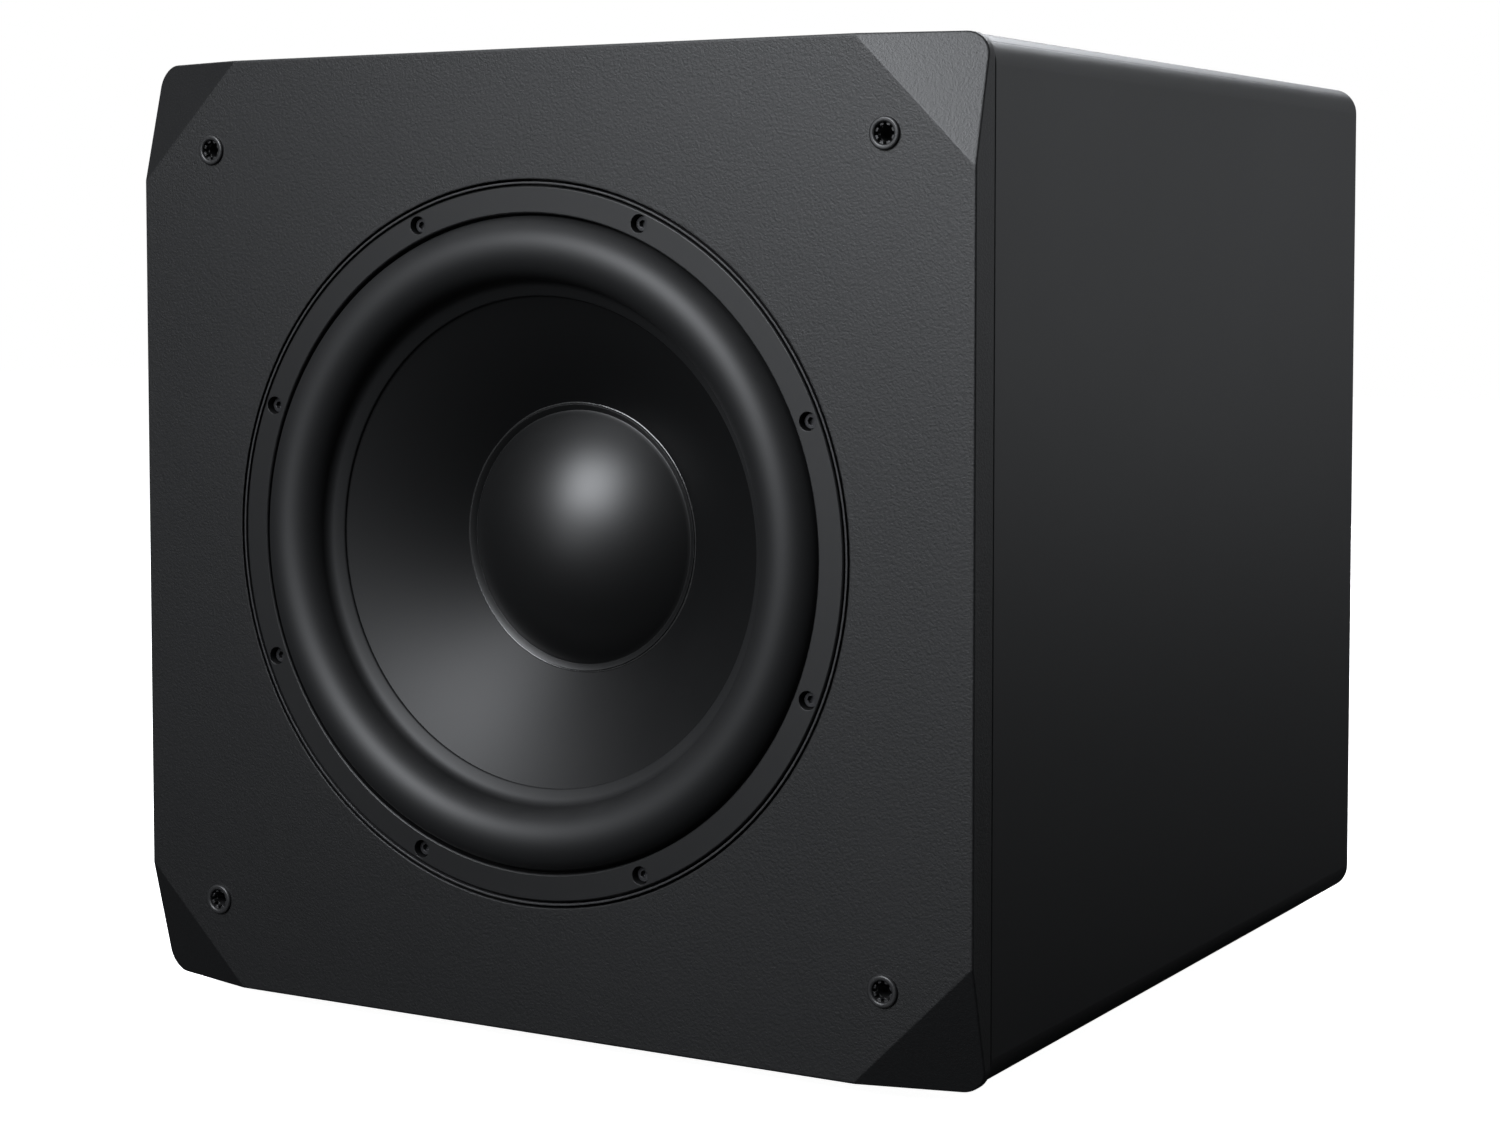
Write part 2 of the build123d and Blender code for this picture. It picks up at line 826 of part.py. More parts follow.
def amp_screw_places():
    half_width = (amp_width - amp_flange) / 2
    half_height = (amp_height - amp_flange) / 2
    places = []
    for k in range(amp_screws_across):
        x = -half_width + 2 * half_width * k / (amp_screws_across - 1)
        places += [(x, -half_height), (x, half_height)]
    for k in range(1, amp_screws_up - 1):
        z = -half_height + 2 * half_height * k / (amp_screws_up - 1)
        places += [(-half_width, z), (half_width, z)]
    return places


def make_amp_plate():
    plate = slab(amp_width, amp_height, amp_corner, plate_inside, 0)
    plate = chamfer(plate.faces().sort_by(Axis.Y)[-1].edges(), 0.6)
    through = (plate_inside - 1, 1)
    for x, z in amp_screw_places():
        plate -= rod(amp_screw_radius + screw_clearance, *through, x, z)
    for x in knob_places.values():
        plate -= rod(bushing_radius + running_clearance, *through, x, control_z)
    for x in slider_places.values():
        plate -= block(slider_width + 2 * slider_travel + 1, slider_height + 1, *through,
                       x, control_z)
    for x in jack_places:
        plate -= rod(jack_neck_radius + running_clearance, *through, x, jack_z)
    plate -= rod(trigger_radius + running_clearance, *through, trigger_x, jack_z)
    plate -= rod(lens_radius + running_clearance, *through, lens_x, jack_z)
    plate -= block(housing_width + play, housing_height + play, *through, rocker_x, power_z)
    plate -= block(inlet_width + play, inlet_height + play, *through, inlet_x, power_z)
    save("amp_plate", at_back(plate))


def make_amp_gasket():
    start = plate_inside - amp_gasket_thickness
    gasket = slab(amp_width, amp_height, amp_corner, start, plate_inside)
    gasket -= block(amp_width - 2 * amp_flange, amp_height - 2 * amp_flange,
                    start - 1, plate_inside + 1)
    for x, z in amp_screw_places():
        gasket -= rod(amp_screw_radius + screw_clearance, start - 1, plate_inside + 1, x, z)
    save("amp_gasket", at_back(gasket))


def make_amp_screws():
    screw = rod(amp_screw_head_radius, 0, amp_screw_head)
    screw = fillet(screw.faces().sort_by(Axis.Y)[-1].edges(), 1.2)
    screw += rod(amp_screw_radius, -amp_screw_length, 1)
    screw -= cross_slot(amp_screw_head - 1.2, amp_screw_head + 1, 4.0, 0.9)
    save("amp_screws", *[at_back(Pos(x, 0, z) * screw) for x, z in amp_screw_places()])


def make_amp_enclosure():
    width = amp_width - 2 * amp_flange - 2 * enclosure_gap
    height = amp_height - 2 * amp_flange - 2 * enclosure_gap
    end = plate_inside - enclosure_depth
    box = block(width, height, end, plate_inside)
    box -= block(width - 2 * enclosure_wall, height - 2 * enclosure_wall,
                 end + enclosure_wall, plate_inside + 1)
    for side in (-1, 1):
        box -= rod(speaker_wire_radius + play, end - 1, end + enclosure_wall + 1,
                   side * terminal_spacing / 2, lead_exit_z)
    save("amp_enclosure", at_back(box))


def make_heatsink():
    sink = block(heatsink_width, heatsink_height, 0, heatsink_base, 0, heatsink_z)
    pitch = (heatsink_width - heatsink_fin) / (heatsink_fins - 1)
    for k in range(heatsink_fins):
        x = -(heatsink_width - heatsink_fin) / 2 + k * pitch
        sink += block(heatsink_fin, heatsink_height, heatsink_base - 1, heatsink_depth,
                      x, heatsink_z)
    save("heatsink", at_back(sink))


def make_boards():
    board = block(main_board_width, main_board_height, board_back, board_face, 0, main_board_z)
    save("main_board", at_back(board))
    top = plate_inside - input_board_gap
    board = block(input_board_width, input_board_height, top - board_thickness, top,
                  0, input_board_z)
    save("input_board", at_back(board))
    posts = []
    for x in (-1, 1):
        for z in (-1, 1):
            place_x = x * (main_board_width / 2 - 6)
            place_z = main_board_z + z * (main_board_height / 2 - 6)
            posts.append(at_back(rod(3, board_face, plate_inside, place_x, place_z)))
            place_x = x * (input_board_width / 2 - 4)
            place_z = input_board_z + z * (input_board_height / 2 - 4)
            posts.append(at_back(rod(3, top, plate_inside, place_x, place_z)))
    save("board_standoffs", *posts)


def make_power_supply():
    inside = plate_inside - 0.5
    ring = rod(transformer_radius, inside - transformer_height, inside)
    ring = fillet(ring.edges(), transformer_round)
    ring -= rod(transformer_hole, inside - transformer_height - 1, inside + 1)
    place = Pos(transformer_x, 0, transformer_z)
    save("transformer", at_back(place * ring))
    dish_front = inside - transformer_height
    clamp = rod(clamp_radius, dish_front - clamp_thickness, dish_front)
    clamp += rod(clamp_bolt_radius, dish_front - 1, plate_inside)
    nut_start = dish_front - clamp_thickness - clamp_nut_height
    clamp += hex_socket(clamp_nut, nut_start, dish_front - clamp_thickness)
    save("transformer_clamp", at_back(place * clamp))
    cans = []
    for x in capacitor_places:
        can = rod(capacitor_radius, board_back - capacitor_length, board_back, x, capacitor_z)
        can = chamfer(can.faces().sort_by(Axis.Y)[0].edges(), 1)
        cans.append(at_back(can))
    save("filter_capacitors", *cans)
    packs = []
    top = amp_height / 2 - amp_flange - enclosure_gap - enclosure_wall
    for x in transistor_places:
        pack = block(transistor_width, transistor_height, plate_inside - transistor_thickness,
                     plate_inside, x, top - 12)
        packs.append(at_back(pack))
    save("power_transistors", *packs)


def make_controls():
    pots = []
    top = plate_inside - input_board_gap
    for name, x in knob_places.items():
        pot = block(pot_size, pot_size, top, plate_inside, x, control_z)
        pot += rod(bushing_radius, plate_inside - 1, knob_gap + 3.5, x, control_z)
        pot -= rod(shaft_radius + running_clearance, top + 1.5, 10, x, control_z)
        pots.append(at_back(pot))
        shaft = rod(shaft_radius, top + 2, knob_gap + knob_height - 2, x, control_z)
        save(f"{name}_shaft", at_back(shaft))
        save(f"{name}_knob", at_back(Pos(x, 0, control_z) * knob()))
    save("control_pots", *pots)


def knob():
    outer = rod(knob_radius, knob_gap, knob_gap + knob_height)
    outer = chamfer(outer.faces().sort_by(Axis.Y)[-1].edges(), 0.8)
    flute = rod(flute_radius, knob_gap + 2, knob_gap + knob_height + 1, 0, knob_radius + 0.35)
    for piece in ring_of(flute, flute_count, 180 / flute_count):
        outer -= piece
    outer -= rod(bushing_radius + 1.2, knob_gap - 1, knob_gap + 4.5)
    outer -= rod(shaft_radius + thread_clearance, knob_gap, knob_gap + knob_height - 1.8)
    pointer = block(pointer_width, knob_radius, knob_gap + knob_height - 0.6, knob_gap + knob_height + 1)
    return outer - Pos(0, 0, knob_radius / 2 + 1) * pointer


def make_sliders():
    bodies = []
    for name, x in slider_places.items():
        reach = slider_width + 2 * slider_travel
        body = block(reach + 8, slider_height + 5, plate_inside - 7, plate_inside, x, control_z)
        body -= block(reach + 1, slider_height + 1, plate_inside - slider_root,
                      plate_inside + 1, x, control_z)
        bodies.append(at_back(body))
        start = plate_inside - slider_root + play
        lever = block(slider_width, slider_height, start, slider_stand, x, control_z)
        lever = chamfer(lever.faces().sort_by(Axis.Y)[-1].edges(), 0.5)
        for groove in (-1, 0, 1):
            lever -= block(slider_groove, slider_height + 1, slider_stand - 0.5, slider_stand + 1,
                           x + groove, control_z)
        save(f"{name}_slider", at_back(lever))
    save("switch_bodies", *bodies)


def make_power_rocker():
    housing = slab(housing_width + 2 * bezel_border, housing_height + 2 * bezel_border, 1.5,
                   0, bezel_height)
    housing += block(housing_width, housing_height, -housing_depth, 1)
    cavity_height = 2 * rocker_half_length + 3
    housing -= block(rocker_width + 1, cavity_height, -10, bezel_height + 1)
    place = Pos(rocker_x, 0, power_z)
    save("rocker_housing", at_back(place * housing))
    outline = [
        (-1.5, -rocker_half_length),
        (3.4, -rocker_half_length),
        (2.0, 0),
        (3.4, rocker_half_length),
        (-1.5, rocker_half_length),
        (-5.5, 3),
        (-5.5, -3),
    ]
    side = Plane.YZ * make_face(Polyline(outline, close=True))
    rocker = Pos(-rocker_width / 2, 0, 0) * extrude(side, rocker_width, dir=(1, 0, 0))
    save("power_rocker", at_back(place * Rot(rocker_angle, 0, 0) * rocker))


def make_mains_inlet():
    place = Pos(inlet_x, 0, power_z)
    body = slab(inlet_width + 2 * bezel_border, inlet_height + 2 * bezel_border, 2,
                0, bezel_height)
    body += block(inlet_width, inlet_height, -inlet_depth, 1)
    cavity_floor = bezel_height - inlet_cavity_depth
    cavity = block(inlet_cavity_width, inlet_cavity_height, cavity_floor, bezel_height + 1,
                   0, inlet_cavity_z)
    body -= cavity
    slot_floor = bezel_height - drawer_depth - 1.5
    body -= block(drawer_width + play, drawer_height + play, slot_floor, bezel_height + 1,
                  0, drawer_z)
    pins = []
    for x, z in pin_places:
        pin = block(pin_width, pin_height, -inlet_depth - pin_tail, cavity_floor + pin_length,
                    x, inlet_cavity_z + z)
        body -= pin
        pins.append(at_back(place * pin))
    save("mains_inlet", at_back(place * body))
    save("inlet_pins", *pins)
    drawer = block(drawer_width, drawer_height, bezel_height - drawer_depth, bezel_height + 0.5,
                   0, drawer_z)
    drawer = chamfer(drawer.faces().sort_by(Axis.Y)[-1].edges(), 0.4)
    trough_y = bezel_height - drawer_depth / 2
    trough = block(fuse_length + play, drawer_height, trough_y - fuse_radius - play,
                   trough_y + fuse_radius + play, 0, drawer_z + 2)
    drawer -= trough
    drawer -= block(9, 1.6, bezel_height - 0.9, bezel_height + 1, 0, drawer_z - 2.4)
    save("fuse_drawer", at_back(place * drawer))
    fuse_z = drawer_z + 2 - drawer_height / 2 + fuse_radius
    fuse = Rot(0, 90, 0) * Cylinder(fuse_radius, fuse_length)
    save("fuse", at_back(place * Pos(0, trough_y, fuse_z) * fuse))


def make_jacks():
    shells = []
    cores = []
    for x in jack_places:
        shell = hex_socket(2 * jack_flange_radius - 1, 0, jack_flange)
        shell += rod(jack_radius, 0, jack_length)
        shell += rod(jack_neck_radius, -jack_depth - amp_plate_thickness, 1)
        shell -= rod(jack_core_radius + thread_clearance, -jack_depth - 10, jack_length + 1)
        core = rod(jack_core_radius, -jack_depth - amp_plate_thickness, jack_length - 0.6)
        core -= rod(jack_hole_radius, -jack_depth + 3, jack_length + 1)
        shells.append(at_back(Pos(x, 0, jack_z) * shell))
        cores.append(at_back(Pos(x, 0, jack_z) * core))
    save("jack_shells", *shells)
    save("jack_cores", *cores)
    jack = rod(trigger_radius, plate_inside - 8, trigger_reach)
    jack += hex_socket(8.5, 0, 2)
    jack += block(trigger_body, trigger_body, plate_inside - 8, plate_inside)
    jack -= rod(trigger_bore_radius, trigger_reach - trigger_bore_depth, trigger_reach + 1)
    save("trigger_jack", at_back(Pos(trigger_x, 0, jack_z) * jack))
    lens = rod(lens_radius, plate_inside - 5, lens_stand)
    lens = fillet(lens.faces().sort_by(Axis.Y)[-1].edges(), 1.0)
    save("status_lens", at_back(Pos(lens_x, 0, jack_z) * lens))


def make_speaker_leads():
    # from the driver's tags, over the brace's lower border, into the amplifier's board
    start = terminal_back + 12
    brace_top = -inner_height / 2 + brace_border
    rest_z = brace_top + speaker_wire_radius + running_clearance
    board_end = cabinet_depth + board_back
    leads = []
    for side in (-1, 1):
        x = side * terminal_spacing / 2
        path = [
            (x, start, -terminal_height),
            (x, brace_position - 50, -terminal_height),
            (x, brace_position - 12, rest_z),
            (x, brace_position + wall_thickness + 12, rest_z),
            (x, cabinet_depth - enclosure_depth - 75, lead_exit_z),
            (x, board_end, lead_exit_z),
        ]
        leads.append(at_driver(wire_along(path, speaker_wire_radius)))
    save("speaker_leads", *leads)


os.makedirs("parts", exist_ok=True)
make_walls()
make_front_baffle()
make_grille_sockets()
make_rear_panel()
make_window_brace()
make_damping_pads()
make_feet()
make_basket()
make_basket_gasket()
make_trim_ring()
make_driver_screws()
make_baffle_inserts()
make_surround()
make_cone()
make_dust_cap()
make_coil()
make_spider()
make_terminals()
make_tinsel_leads()
make_motor()
make_amp_plate()
make_amp_gasket()
make_amp_screws()
make_amp_enclosure()
make_heatsink()
make_boards()
make_power_supply()
make_controls()
make_sliders()
make_power_rocker()
make_mains_inlet()
make_jacks()
make_speaker_leads()
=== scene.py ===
import math
import random

import bmesh
import bpy
from mathutils import Matrix, Vector
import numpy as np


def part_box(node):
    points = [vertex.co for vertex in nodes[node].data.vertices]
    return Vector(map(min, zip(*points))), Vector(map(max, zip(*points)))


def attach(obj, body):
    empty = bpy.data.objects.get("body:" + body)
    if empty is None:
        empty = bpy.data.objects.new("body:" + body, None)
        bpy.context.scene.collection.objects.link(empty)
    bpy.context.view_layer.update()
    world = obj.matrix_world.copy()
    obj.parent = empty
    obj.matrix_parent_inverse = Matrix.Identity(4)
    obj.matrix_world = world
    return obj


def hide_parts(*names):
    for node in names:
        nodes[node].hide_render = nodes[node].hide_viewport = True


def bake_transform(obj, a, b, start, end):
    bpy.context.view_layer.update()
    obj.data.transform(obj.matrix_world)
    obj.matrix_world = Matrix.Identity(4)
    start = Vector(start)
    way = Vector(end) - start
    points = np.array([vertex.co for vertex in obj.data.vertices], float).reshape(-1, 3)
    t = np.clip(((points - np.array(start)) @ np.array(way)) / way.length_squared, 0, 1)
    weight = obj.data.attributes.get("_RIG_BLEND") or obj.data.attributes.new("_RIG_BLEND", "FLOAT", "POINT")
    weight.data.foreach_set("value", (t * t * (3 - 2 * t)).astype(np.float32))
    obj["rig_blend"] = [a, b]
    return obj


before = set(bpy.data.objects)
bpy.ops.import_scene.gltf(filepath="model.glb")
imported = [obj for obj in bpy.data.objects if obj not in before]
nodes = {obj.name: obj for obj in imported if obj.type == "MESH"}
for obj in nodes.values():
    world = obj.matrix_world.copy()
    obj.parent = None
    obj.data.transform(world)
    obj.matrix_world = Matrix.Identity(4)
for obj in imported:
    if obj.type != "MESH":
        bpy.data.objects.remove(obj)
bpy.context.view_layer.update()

scene = bpy.context.scene
print("stage: frame loaded,", len(nodes), "nodes")


cameraSetup = {
    "place": (0.70011, -1.25962, 0.33870),
    "turn": -0.5233,  # radians from straight ahead, negative looks left
    "tilt": -0.0584,
    "lens": 70.21,
    "shift": -0.0842,
}


def addCamera(setup):
    data = bpy.data.cameras.new("studioCamera")
    data.sensor_width = 36.0
    data.lens = setup["lens"]
    data.shift_y = setup["shift"]
    data.clip_start = 0.05
    data.clip_end = 50.0
    camera = bpy.data.objects.new("studioCamera", data)
    scene.collection.objects.link(camera)
    turn, tilt = setup["turn"], setup["tilt"]
    forward = Vector((math.sin(turn) * math.cos(tilt), math.cos(turn) * math.cos(tilt), math.sin(tilt)))
    facing = forward.to_track_quat("-Z", "Y").to_matrix().to_4x4()
    camera.matrix_world = Matrix.Translation(Vector(setup["place"])) @ facing
    scene.camera = camera
    return camera


addCamera(cameraSetup)


studio = {
    "lights": [
        # name, place, aimed at, width, height, watts
        ("keyAbove", (-0.30, -2.12, 1.40), (0.0, -0.2, 0.25), 1.15, 1.15, 80.0),
        ("frontFill", (-0.60, -2.30, 0.14), (0.0, -0.2, 0.20), 0.8, 0.7, 4.5),
        ("topLeft", (-0.95, 0.30, 1.95), (0.0, -0.1, 0.40), 1.3, 1.1, 10.5),
        ("rimBehind", (0.10, 1.75, 1.85), (0.2, -0.1, 0.42), 1.2, 0.5, 32.0),
        ("rearRight", (1.90, 1.90, 0.70), (0.2, 0.0, 0.30), 2.2, 2.0, 9.5),
        ("rearFill", (-0.85, 2.30, 0.27), (0.0, 0.2, 0.22), 1.8, 0.5, 22.0),
    ],
    "tint": (0.93, 0.957, 1.0),
    "backdrop": 1.0,  # what the camera sees behind the object
    "roomTop": 0.20,  # what the surfaces see above them
    "roomLow": 0.015,  # and below
    "floorSeen": 0.97,
    "floorBounce": 0.03,
}


def addLight(tint, name, place, aim, width, height, watts):
    data = bpy.data.lights.new(name, "AREA")
    data.shape = "RECTANGLE"
    data.size = width
    data.size_y = height
    data.energy = watts
    data.color = tint
    light = bpy.data.objects.new(name, data)
    scene.collection.objects.link(light)
    away = Vector(aim) - Vector(place)
    facing = away.to_track_quat("-Z", "Y").to_matrix().to_4x4()
    light.matrix_world = Matrix.Translation(Vector(place)) @ facing
    light.visible_camera = False
    return light


def addRoom(setup):
    world = bpy.data.worlds.new("studioRoom")
    scene.world = world
    world.use_nodes = True
    tree = world.node_tree
    tree.nodes.clear()
    out = tree.nodes.new("ShaderNodeOutputWorld")
    seen = tree.nodes.new("ShaderNodeBackground")
    seen.inputs["Color"].default_value = (1, 1, 1, 1)
    seen.inputs["Strength"].default_value = setup["backdrop"]
    room = tree.nodes.new("ShaderNodeBackground")
    rays = tree.nodes.new("ShaderNodeLightPath")
    pick = tree.nodes.new("ShaderNodeMixShader")
    coords = tree.nodes.new("ShaderNodeTexCoord")
    split = tree.nodes.new("ShaderNodeSeparateXYZ")
    spread = tree.nodes.new("ShaderNodeMapRange")
    spread.inputs["From Min"].default_value = -0.25
    spread.inputs["From Max"].default_value = 0.9
    spread.inputs["To Min"].default_value = setup["roomLow"]
    spread.inputs["To Max"].default_value = setup["roomTop"]
    room.inputs["Color"].default_value = setup["tint"] + (1.0,)
    tree.links.new(coords.outputs["Generated"], split.inputs[0])
    tree.links.new(split.outputs["Z"], spread.inputs["Value"])
    tree.links.new(spread.outputs[0], room.inputs["Strength"])
    tree.links.new(rays.outputs["Is Camera Ray"], pick.inputs["Fac"])
    tree.links.new(room.outputs[0], pick.inputs[1])
    tree.links.new(seen.outputs[0], pick.inputs[2])
    tree.links.new(pick.outputs[0], out.inputs["Surface"])


def addFloor(setup):
    shape = bmesh.new()
    bmesh.ops.create_grid(shape, x_segments=1, y_segments=1, size=6.0)
    floor = finishMesh("studioFloor", shape, smooth=False)
    material = bpy.data.materials.new("paleFloor")
    material.use_nodes = True
    tree = material.node_tree
    tree.nodes.clear()
    out = tree.nodes.new("ShaderNodeOutputMaterial")
    rays = tree.nodes.new("ShaderNodeLightPath")
    pick = tree.nodes.new("ShaderNodeMixShader")
    bounce = tree.nodes.new("ShaderNodeBsdfDiffuse")
    bounce.inputs["Color"].default_value = (setup["floorBounce"],) * 3 + (1,)
    lit = tree.nodes.new("ShaderNodeBsdfDiffuse")
    lit.inputs["Color"].default_value = (0.9, 0.9, 0.9, 1)
    glow = tree.nodes.new("ShaderNodeEmission")
    glow.inputs["Color"].default_value = (1, 1, 1, 1)
    glow.inputs["Strength"].default_value = setup["floorSeen"]
    seen = tree.nodes.new("ShaderNodeAddShader")
    tree.links.new(lit.outputs[0], seen.inputs[0])
    tree.links.new(glow.outputs[0], seen.inputs[1])
    tree.links.new(rays.outputs["Is Camera Ray"], pick.inputs["Fac"])
    tree.links.new(bounce.outputs[0], pick.inputs[1])
    tree.links.new(seen.outputs[0], pick.inputs[2])
    # from below the floor is clear, so the underside can be looked at
    side = tree.nodes.new("ShaderNodeNewGeometry")
    clear = tree.nodes.new("ShaderNodeBsdfTransparent")
    sided = tree.nodes.new("ShaderNodeMixShader")
    tree.links.new(side.outputs["Backfacing"], sided.inputs["Fac"])
    tree.links.new(pick.outputs[0], sided.inputs[1])
    tree.links.new(clear.outputs[0], sided.inputs[2])
    tree.links.new(sided.outputs[0], out.inputs["Surface"])
    floor.data.materials.append(material)


def finishMesh(name, shape, smooth=True, sharp=35.0):
    # turns a bmesh into an object that sits at the origin
    bmesh.ops.recalc_face_normals(shape, faces=shape.faces)
    mesh = bpy.data.meshes.new(name)
    shape.to_mesh(mesh)
    shape.free()
    piece = bpy.data.objects.new(name, mesh)
    scene.collection.objects.link(piece)
    if smooth:
        mesh.shade_smooth()
        mesh.set_sharp_from_angle(angle=math.radians(sharp))
    return piece


for light in studio["lights"]:
    addLight(studio["tint"], *light)
addRoom(studio)
addFloor(studio)
scene.view_settings.view_transform = "Standard"
print("stage: camera, lights and floor")


# effects shared by the finishes

def newGroup(name, inputs, outputs):
    group = bpy.data.node_groups.new(name, "ShaderNodeTree")
    for label, kind, value in inputs:
        socket = group.interface.new_socket(label, in_out="INPUT", socket_type=kind)
        socket.default_value = value
    for label, kind in outputs:
        group.interface.new_socket(label, in_out="OUTPUT", socket_type=kind)
    start = group.nodes.new("NodeGroupInput")
    end = group.nodes.new("NodeGroupOutput")
    return group, start, end


def mathNode(tree, operation, first, second=None, clamp=False):
    node = tree.nodes.new("ShaderNodeMath")
    node.operation = operation
    node.use_clamp = clamp
    for place, value in enumerate((first, second)):
        if value is None:
            continue
        if isinstance(value, (int, float)):
            node.inputs[place].default_value = value
        else:
            tree.links.new(value, node.inputs[place])
    return node.outputs[0]


def objectCoords(tree):
    return tree.nodes.new("ShaderNodeTexCoord").outputs["Object"]


def stretched(tree, vector, scale):
    node = tree.nodes.new("ShaderNodeMapping")
    node.inputs["Scale"].default_value = scale
    tree.links.new(vector, node.inputs["Vector"])
    return node.outputs[0]


def noise(tree, vector, scale, detail=2.0, roughness=0.5):
    node = tree.nodes.new("ShaderNodeTexNoise")
    node.inputs["Detail"].default_value = detail
    node.inputs["Roughness"].default_value = roughness
    tree.links.new(vector, node.inputs["Vector"])
    if isinstance(scale, (int, float)):
        node.inputs["Scale"].default_value = scale
    else:
        tree.links.new(scale, node.inputs["Scale"])
    return node.outputs["Fac"]


def mapRange(tree, value, low, high, toLow=0.0, toHigh=1.0):
    node = tree.nodes.new("ShaderNodeMapRange")
    node.clamp = True
    node.inputs["From Min"].default_value = low
    node.inputs["From Max"].default_value = high
    node.inputs["To Min"].default_value = toLow
    node.inputs["To Max"].default_value = toHigh
    tree.links.new(value, node.inputs["Value"])
    return node.outputs[0]


def mixColour(tree, factor, first, second):
    node = tree.nodes.new("ShaderNodeMix")
    node.data_type = "RGBA"
    for place, value in ((0, factor), (6, first), (7, second)):
        if isinstance(value, (int, float)):
            node.inputs[place].default_value = value
        elif isinstance(value, tuple):
            node.inputs[place].default_value = value
        else:
            tree.links.new(value, node.inputs[place])
    return node.outputs[2]


def grainGroup():
    # pebbled paint or moulding texture: a height, and a tone that goes with it
    group, start, end = newGroup(
        "surfaceGrain",
        [("Scale", "NodeSocketFloat", 900.0), ("Pebble", "NodeSocketFloat", 0.5)],
        [("Height", "NodeSocketFloat"), ("Tone", "NodeSocketFloat")],
    )
    coords = objectCoords(group)
    fine = noise(group, coords, start.outputs["Scale"], 3.0, 0.6)
    half = mathNode(group, "MULTIPLY", start.outputs["Scale"], 0.55)
    cells = group.nodes.new("ShaderNodeTexVoronoi")
    cells.feature = "SMOOTH_F1"
    group.links.new(coords, cells.inputs["Vector"])
    group.links.new(half, cells.inputs["Scale"])
    bumps = mapRange(group, cells.outputs["Distance"], 0.0, 0.8, 1.0, 0.0)
    mixed = group.nodes.new("ShaderNodeMix")
    group.links.new(start.outputs["Pebble"], mixed.inputs[0])
    group.links.new(fine, mixed.inputs[2])
    group.links.new(bumps, mixed.inputs[3])
    group.links.new(mixed.outputs[0], end.inputs["Height"])
    group.links.new(mapRange(group, mixed.outputs[0], 0.3, 0.75), end.inputs["Tone"])
    return group


def edgeGroup():
    # eased edges, and a mask of the edges that the finishes lighten as a painted highlight
    group, start, end = newGroup(
        "easedEdge",
        [("Radius", "NodeSocketFloat", 0.0006)],
        [("Normal", "NodeSocketVector"), ("Mask", "NodeSocketFloat")],
    )
    bevel = group.nodes.new("ShaderNodeBevel")
    bevel.samples = 4
    group.links.new(start.outputs["Radius"], bevel.inputs["Radius"])
    geometry = group.nodes.new("ShaderNodeNewGeometry")
    dot = group.nodes.new("ShaderNodeVectorMath")
    dot.operation = "DOT_PRODUCT"
    group.links.new(bevel.outputs[0], dot.inputs[0])
    group.links.new(geometry.outputs["Normal"], dot.inputs[1])
    group.links.new(bevel.outputs[0], end.inputs["Normal"])
    group.links.new(mapRange(group, dot.outputs["Value"], 0.99, 0.80), end.inputs["Mask"])
    return group


def dustGroup():
    # a light film on what faces up
    group, start, end = newGroup(
        "dustFilm",
        [("Amount", "NodeSocketFloat", 0.1), ("Scale", "NodeSocketFloat", 30.0)],
        [("Mask", "NodeSocketFloat")],
    )
    geometry = group.nodes.new("ShaderNodeNewGeometry")
    split = group.nodes.new("ShaderNodeSeparateXYZ")
    group.links.new(geometry.outputs["Normal"], split.inputs[0])
    up = mapRange(group, split.outputs["Z"], 0.1, 1.0)
    coords = objectCoords(group)
    patches = mapRange(group, noise(group, coords, start.outputs["Scale"], 5.0, 0.65), 0.35, 0.75)
    speckle = mapRange(group, noise(group, coords, 2600.0, 1.0), 0.55, 0.8)
    soft, fine = mathNode(group, "MULTIPLY", patches, 0.6), mathNode(group, "MULTIPLY", speckle, 0.5)
    both = mathNode(group, "ADD", soft, fine)
    shown = mathNode(group, "MULTIPLY", mathNode(group, "MULTIPLY", up, both), start.outputs["Amount"], True)
    group.links.new(shown, end.inputs["Mask"])
    return group


def handledGroup():
    # slow, broad change in gloss from handling and uneven spraying
    group, start, end = newGroup(
        "handledGloss",
        [
            ("Scale", "NodeSocketFloat", 6.0),
            ("Base", "NodeSocketFloat", 0.5),
            ("Spread", "NodeSocketFloat", 0.08),
        ],
        [("Roughness", "NodeSocketFloat")],
    )
    coords = objectCoords(group)
    broad = noise(group, coords, start.outputs["Scale"], 4.0, 0.55)
    centred = mathNode(group, "SUBTRACT", broad, 0.5)
    swing = mathNode(group, "MULTIPLY", centred, start.outputs["Spread"])
    total = mathNode(group, "ADD", start.outputs["Base"], swing, True)
    group.links.new(total, end.inputs["Roughness"])
    return group


effects = {"grain": grainGroup(), "edge": edgeGroup(), "dust": dustGroup(), "gloss": handledGroup()}


def addEffect(tree, name, **values):
    node = tree.nodes.new("ShaderNodeGroup")
    node.node_tree = effects[name]
    for label, value in values.items():
        node.inputs[label].default_value = value
    return node


def startMaterial(name, metallic=0.0, specular=0.5, coat=0.0, coatRough=0.1, sheen=0.0):
    material = bpy.data.materials.new(name)
    material.use_nodes = True
    shader = material.node_tree.nodes["Principled BSDF"]
    shader.inputs["Metallic"].default_value = metallic
    shader.inputs["Specular IOR Level"].default_value = specular
    shader.inputs["Coat Weight"].default_value = coat
    shader.inputs["Coat Roughness"].default_value = coatRough
    shader.inputs["Sheen Weight"].default_value = sheen
    return material, material.node_tree, shader


def finishNormal(tree, shader, height, depth, normal=None, strength=1.0):
    bump = tree.nodes.new("ShaderNodeBump")
    bump.inputs["Distance"].default_value = depth
    bump.inputs["Strength"].default_value = strength
    tree.links.new(height, bump.inputs["Height"])
    if normal is not None:
        tree.links.new(normal, bump.inputs["Normal"])
    tree.links.new(bump.outputs[0], shader.inputs["Normal"])


def rgba(colour):
    return tuple(colour) + (1.0,)


